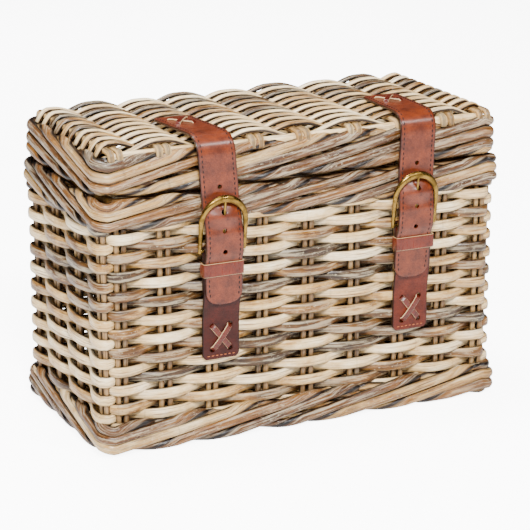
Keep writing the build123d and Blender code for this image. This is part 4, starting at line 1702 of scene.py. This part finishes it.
@dataclass
class StrapSet:
    """One side's straps, buckle, keeper, laces and stitches."""

    side: str
    hang_y: float = -122.2 * MM
    strap_z: float = 347.3 * MM
    tail_top: float = 303.0 * MM
    width: float = 44.0 * MM
    thickness: float = 2.8 * MM
    bar_y: float = -123.98 * MM
    bar_z: float = 222.0 * MM
    frame_lean: float = math.radians(7.0)
    prong_lean: float = math.radians(9.5)
    stitch_pitch: float = 5.6 * MM
    stitch_inset: float = 4.2 * MM
    skew: tuple[float, ...] = (-16, -6, -2, 0, 1)
    tail_holes: tuple[tuple[float, float, float], ...] = (
        (-122.2, 291.0, 2.6), (-130.0, 264.0, 3.0), (-130.2, 243.2, 2.7), (-130.56, 219.7, 2.7)
    )
    lower_finish: Finish = Finish.LOWER

    def build(self) -> None:
        """Makes every piece of this side."""
        low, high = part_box(f"{self.side}_lid_strap")
        self.x = (low.x + high.x) / 2
        self.back_y = high.y
        self.build_upper()
        self.build_lower()
        self.build_frame()
        self.build_prong()
        self.build_keeper()
        self.build_laces()

    def route3(self, flat: np.ndarray) -> np.ndarray:
        """Puts a route of Y and Z at the strap's X."""
        return np.stack([np.full(len(flat), self.x), flat[:, 0], flat[:, 1]], 1)

    def drift(self, along: np.ndarray) -> np.ndarray:
        """Sideways drift of the strap along its way from the lid's back to its tip."""
        marks = (0.0, 99 * MM, 150 * MM, 195 * MM, 280 * MM)
        return np.interp(along, marks, [d * MM for d in self.skew])

    def upper_route(self) -> np.ndarray:
        """Centre line from the lid's top over its edge to the tip."""
        corner = (self.hang_y, self.strap_z)
        top = rounded(
            [(self.back_y, self.strap_z), corner, (self.hang_y, self.tail_top)], 24 * MM, 3 * MM
        )
        fall = rounded(
            [(y * MM, z * MM) for y, z in (
                (-122.2, 303.0), (-122.2, 283.0), (-124.65, 261.3), (-130.56, 240.0), (-130.56, 218.0),
                (-126.6, 208.9), (-126.6, 160.0))],
            12 * MM, 2.5 * MM,
        )
        route = self.route3(np.concatenate([top[:-1], fall]))
        route[:, 0] += self.drift(distances(route))
        return route

    def build_upper(self) -> None:
        """Lid strap and tail in one, with holes, blended over their joint."""
        route = self.upper_route()
        hanging = route[:, 1] < self.hang_y + 1 * MM
        crown = 6.8 * MM * np.exp(-(((route[:, 2] - 259 * MM) / (10 * MM)) ** 2)) * hanging
        name, half = f"{self.side}_strap", self.width / 2
        ribbon = Ribbon(
            name, route, (1, 0, 0), half, self.thickness, 10, 16 * MM, 4 * MM, crown=crown
        )
        obj = ribbon.build()
        for y, z, radius in self.tail_holes:
            x = self.x + float(np.interp(-z * MM, -route[30:, 2], route[30:, 0] - self.x))
            punch(obj, [Vector((x, y * MM, z * MM))], radius * MM, 10 * MM)
        ribbon.map_hide(obj)
        soften(obj, 35)
        dress(obj, Finish.STRAP, "", "leather", f"{self.side}_lid_strap", f"{self.side}_strap_tail")
        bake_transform(obj)
        marks = np.arange(6 * MM, distances(route)[-1] - 6 * MM, self.stitch_pitch)
        stitches = self.sew(f"{self.side}_strap_stitches", route, marks, 16 * MM, crown)
        dress(stitches, Finish.THREAD, "", "thong")
        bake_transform(stitches)

    def sew(
        self, name: str, route: np.ndarray, marks: np.ndarray, tip: float, crown: np.ndarray | None = None
    ) -> bpy.types.Object:
        """Rows of stitches along both edges of a strap's outer face.

        Args:
            name: The piece's name.
            route: The strap's centre line.
            marks: Distances along it of the stitches.
            tip: Radius of the strap's tip, which the rows follow.
            crown: Bulge of the strap's middle at each point of the route.

        Returns:
            The stitches in one piece.
        """
        along = distances(route)
        way = unit(np.gradient(route, axis=0))
        places = []
        for mark in marks:
            point = sample(mark, along, route)
            way_here = sample(mark, along, way)
            way_here /= np.linalg.norm(way_here)
            outward = np.cross(way_here, (1.0, 0.0, 0.0))
            left = along[-1] - mark
            limit = self.width / 2 - self.stitch_inset
            if left < tip:
                curve = math.sqrt(max(tip**2 - (tip - left) ** 2, 0))
                limit = min(limit, self.width / 2 - tip + curve - self.stitch_inset)
            bulge = 0.0 if crown is None else float(np.interp(mark, along, crown))
            proud = self.thickness / 2 + 0.05 * MM + bulge * (1 - (limit / (self.width / 2)) ** 2)
            for side in (-1, 1):
                spot = point + outward * proud + np.array([side * limit, 0, 0])
                places.append((spot, way_here, np.array([1.0, 0, 0]), outward))
        return join_copies(name, stitch_shape(3.7 * MM, 1.6 * MM, 1.1 * MM), places)

    def lower_flat(self) -> np.ndarray:
        """Centre line of the buckle strap from its foot round the bar and down behind."""
        r = 3.48 * MM
        front = rounded(
            [(y * MM, z * MM) for y, z in (
                (-118.7, 95.0), (-118.7, 141.0), (-123.5, 173.8), (-123.5, 210.3),
                (-127.46, 219.0), (-127.46, 222.0))],
            9 * MM, 2.5 * MM,
        )
        angle = np.linspace(math.pi, 0, 12)
        fold = np.stack([self.bar_y + r * np.cos(angle), self.bar_z + r * np.sin(angle)], 1)
        back = np.stack([np.full(17, fold[-1, 0]), np.linspace(self.bar_z, self.bar_z - 48 * MM, 17)], 1)
        return np.concatenate([front[:-1], fold, back[1:]])

    def build_lower(self) -> None:
        """Buckle strap with its slot for the prong, and its stitches."""
        route = self.route3(self.lower_flat())
        name, half = f"{self.side}_lower_strap", self.width / 2
        ribbon = Ribbon(name, route, (1, 0, 0), half, self.thickness, 8, 0, 4 * MM)
        obj = ribbon.build()
        deselect()
        bpy.ops.mesh.primitive_cube_add(size=1.0, location=(self.x, self.bar_y - 4 * MM, self.bar_z - 2 * MM))
        cutter = bpy.context.object
        cutter.scale = (6 * MM, 16 * MM, 20 * MM)
        finish_modifier(obj, "BOOLEAN", operation="DIFFERENCE", object=cutter, solver="EXACT")
        bpy.data.objects.remove(cutter)
        places = [(self.x + i * 10.5 * MM, (120 + j * 13.5) * MM) for i in (-1, 1) for j in (-1, 1)]
        punch(obj, [Vector((x, -118.7 * MM, z)) for x, z in places], 3.3 * MM, 6 * MM)
        ribbon.map_hide(obj)
        soften(obj, 35)
        dress(obj, self.lower_finish, "trunk", "leather", f"{self.side}_buckle_strap")
        marks = np.arange(4 * MM, 76 * MM, self.stitch_pitch)
        stitches = self.sew(f"{self.side}_lower_stitches", route, marks, 0)
        dress(stitches, Finish.THREAD, "trunk", "thong")
        face = -118.7 * MM - self.thickness / 2 - 0.05 * MM
        axes = (np.array([1.0, 0, 0]), np.array([0, 0, 1.0]), np.array([0, -1.0, 0]))
        places = [(np.array([self.x + dx * MM, face, 99.2 * MM]), *axes) for dx in np.arange(-15, 16, 5.0)]
        foot = join_copies(f"{self.side}_foot_stitches", stitch_shape(3.4 * MM, 1.2 * MM, 0.9 * MM), places)
        dress(foot, Finish.BRIGHT_THREAD, "trunk", "thong")

    def on_frame(self, a: np.ndarray, b: np.ndarray, lean: float) -> np.ndarray:
        """Points of a plane through the bar that leans forward."""
        return np.stack(
            [self.x + a, self.bar_y - b * math.sin(lean), self.bar_z + b * math.cos(lean)], 1
        )

    def build_frame(self) -> None:
        """Horseshoe frame: thick rounded top rail, slim legs and the bar."""
        half = 26.3 * MM
        shoulder = 30 * MM
        angle = np.linspace(0, math.pi, 33)
        leg = np.linspace(-2.5 * MM, shoulder, 12)[:-1]
        rail_half = half + 1.2 * MM * np.sin(angle) ** 2
        a = np.concatenate([np.full(11, half), rail_half * np.cos(angle), np.full(11, -half)])
        b = np.concatenate([leg, shoulder + rail_half * np.sin(angle), leg[::-1]])
        leg_radius = np.linspace(2.2 * MM, 2.7 * MM, 11)
        arc_radius = 2.8 * MM + 1.8 * MM * np.sin(angle) ** 1.5
        radii = np.concatenate([leg_radius, arc_radius, leg_radius[::-1]])
        obj = bent_rod(f"{self.side}_buckle_horseshoe", self.on_frame(a, b, self.frame_lean), radii)
        normal = np.array([0, -math.cos(self.frame_lean), -math.sin(self.frame_lean)])
        origin = np.array([self.x, self.bar_y, self.bar_z])
        co = points_of(obj)
        off = (co - origin) @ normal
        move_points(obj, co - np.outer(off * np.where(off < 0, 0.35, 0.25), normal))
        across = self.x + np.linspace(-half, half, 10)
        line = np.stack([across, np.full(10, self.bar_y), np.full(10, self.bar_z)], 1)
        join_onto(obj, bent_rod(f"{self.side}_bar", line, np.full(10, 2.0 * MM)))
        soften(obj, 45)
        dress(obj, Finish.BRASS, f"{self.side}_frame", "brass", f"{self.side}_buckle_frame")

    def build_prong(self) -> None:
        """Tapered prong with its ring round the bar."""
        b = np.linspace(2.6 * MM, 57 * MM, 24)
        bow = 0.7 * MM * np.sin(np.linspace(0, math.pi, 24))
        points = self.on_frame(np.zeros(24), b, self.prong_lean)
        points[:, 1] -= bow * 0.3
        radii = np.interp(b, (0, 50 * MM, 55 * MM, 57 * MM), (1.6 * MM, 1.35 * MM, 1.15 * MM, 0.6 * MM))
        obj = bent_rod(f"{self.side}_prong_pin", points, radii)
        deselect()
        bpy.ops.mesh.primitive_torus_add(
            location=(self.x, self.bar_y, self.bar_z), rotation=(0, math.pi / 2, 0),
            major_radius=2.9 * MM, minor_radius=0.8 * MM, major_segments=28, minor_segments=10,
        )
        ring = bpy.context.object
        ring.scale = (1.0, 1.0, 1.9)
        settle(ring, "ring")
        soften(ring, 60)
        join_onto(obj, ring)
        dress(obj, Finish.BRASS, f"{self.side}_prong", "brass", f"{self.side}_buckle_prong")

    def build_keeper(self) -> None:
        """Leather loop round the straps."""
        low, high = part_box(f"{self.side}_keeper")
        half = 0.8 * MM
        x0, x1, y0, y1 = low.x + half, high.x - half, low.y + half, high.y - half
        middle = (x0 + x1) / 2
        corners = [(middle, y1), (x1, y1), (x1, y0), (x0, y0), (x0, y1), (middle, y1)]
        flat = rounded(corners, 2.6 * MM, 2.2 * MM)
        route = np.stack([flat[:, 0], flat[:, 1], np.full(len(flat), (low.z + high.z) / 2)], 1)
        name, tall = f"{self.side}_keeper_loop", (high.z - low.z) / 2
        ribbon = Ribbon(name, route, (0, 0, 1), tall, 1.6 * MM, 6, 0, 0, 0.4 * MM, True)
        dress(ribbon.build(), Finish.KEEPER, f"{self.side}_loop", "leather", f"{self.side}_keeper")

    def build_laces(self) -> None:
        """The X-shaped laces on the lid and on the body."""
        y = self.back_y - 25 * MM
        shift = float(self.drift(np.array([25 * MM]))[0])
        top = np.array([self.x + shift, y, self.strap_z + self.thickness / 2])
        self.cross(f"{self.side}_lid_lace", "lid", top, np.array([0.0, 1, 0]), np.array([0.0, 0, 1]))
        low = np.array([self.x, -118.7 * MM - self.thickness / 2, 120 * MM])
        self.cross(f"{self.side}_base_lace", "trunk", low, np.array([0.0, 0, 1]), np.array([0.0, -1, 0]))

    def cross(self, node: str, body: str, middle: np.ndarray, up: np.ndarray, out: np.ndarray) -> None:
        """Two crossing thongs whose ends go down into the strap.

        Args:
            node: The CAD node that they stand for.
            body: The body that they ride on.
            middle: Middle of the cross on the strap's face.
            up: Direction along the strap.
            out: Direction away from the strap.
        """
        made = []
        for layer, lean in enumerate((-1, 1)):
            reach = np.array([lean * 11 * MM, 14 * MM])
            t = np.linspace(-1, 1, 21)
            sunk = 4.2 * MM * np.clip(np.abs(t) - 0.84, 0, 1) / 0.16
            lift = 1.2 * MM + layer * 1.6 * MM * (1 - np.abs(t) ** 1.5) - sunk
            sideways, upward = np.outer(t * reach[0], (1.0, 0, 0)), np.outer(t * reach[1], up)
            route = middle + sideways + upward + np.outer(lift, out)
            way = np.array([reach[0], 0, 0]) + reach[1] * up
            across = np.cross(way / np.linalg.norm(way), out)
            thong = Ribbon(f"{node}_{layer}", route, tuple(across), 3.0 * MM, 1.9 * MM, 4, 0, 0, 0.6 * MM)
            made.append(thong.build())
        join_onto(*made)
        settle(made[0], f"{node}_thongs")
        dress(made[0], Finish.LACE, body, "thong", node)


FRAME = {}


def main() -> None:
    """Builds the trunk piece by piece."""
    logging.basicConfig(level=logging.INFO, format="%(message)s")
    FRAME.update(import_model())
    Studio().build()
    builders = [WovenWalls(), *(RopeBorder(kind) for kind in BorderKind), LidPanel(), BasePanel()]
    right = StrapSet("right", skew=(8, 5, 3, 0, -4), lower_finish=Finish.LOWER_PALE)
    builders += [PoleFrame(), HingeWork(), StrapSet("left"), right]
    for builder in builders:
        builder.build()
        LOG.info("built %s", type(builder).__name__)


if __name__ == "__main__":
    main()
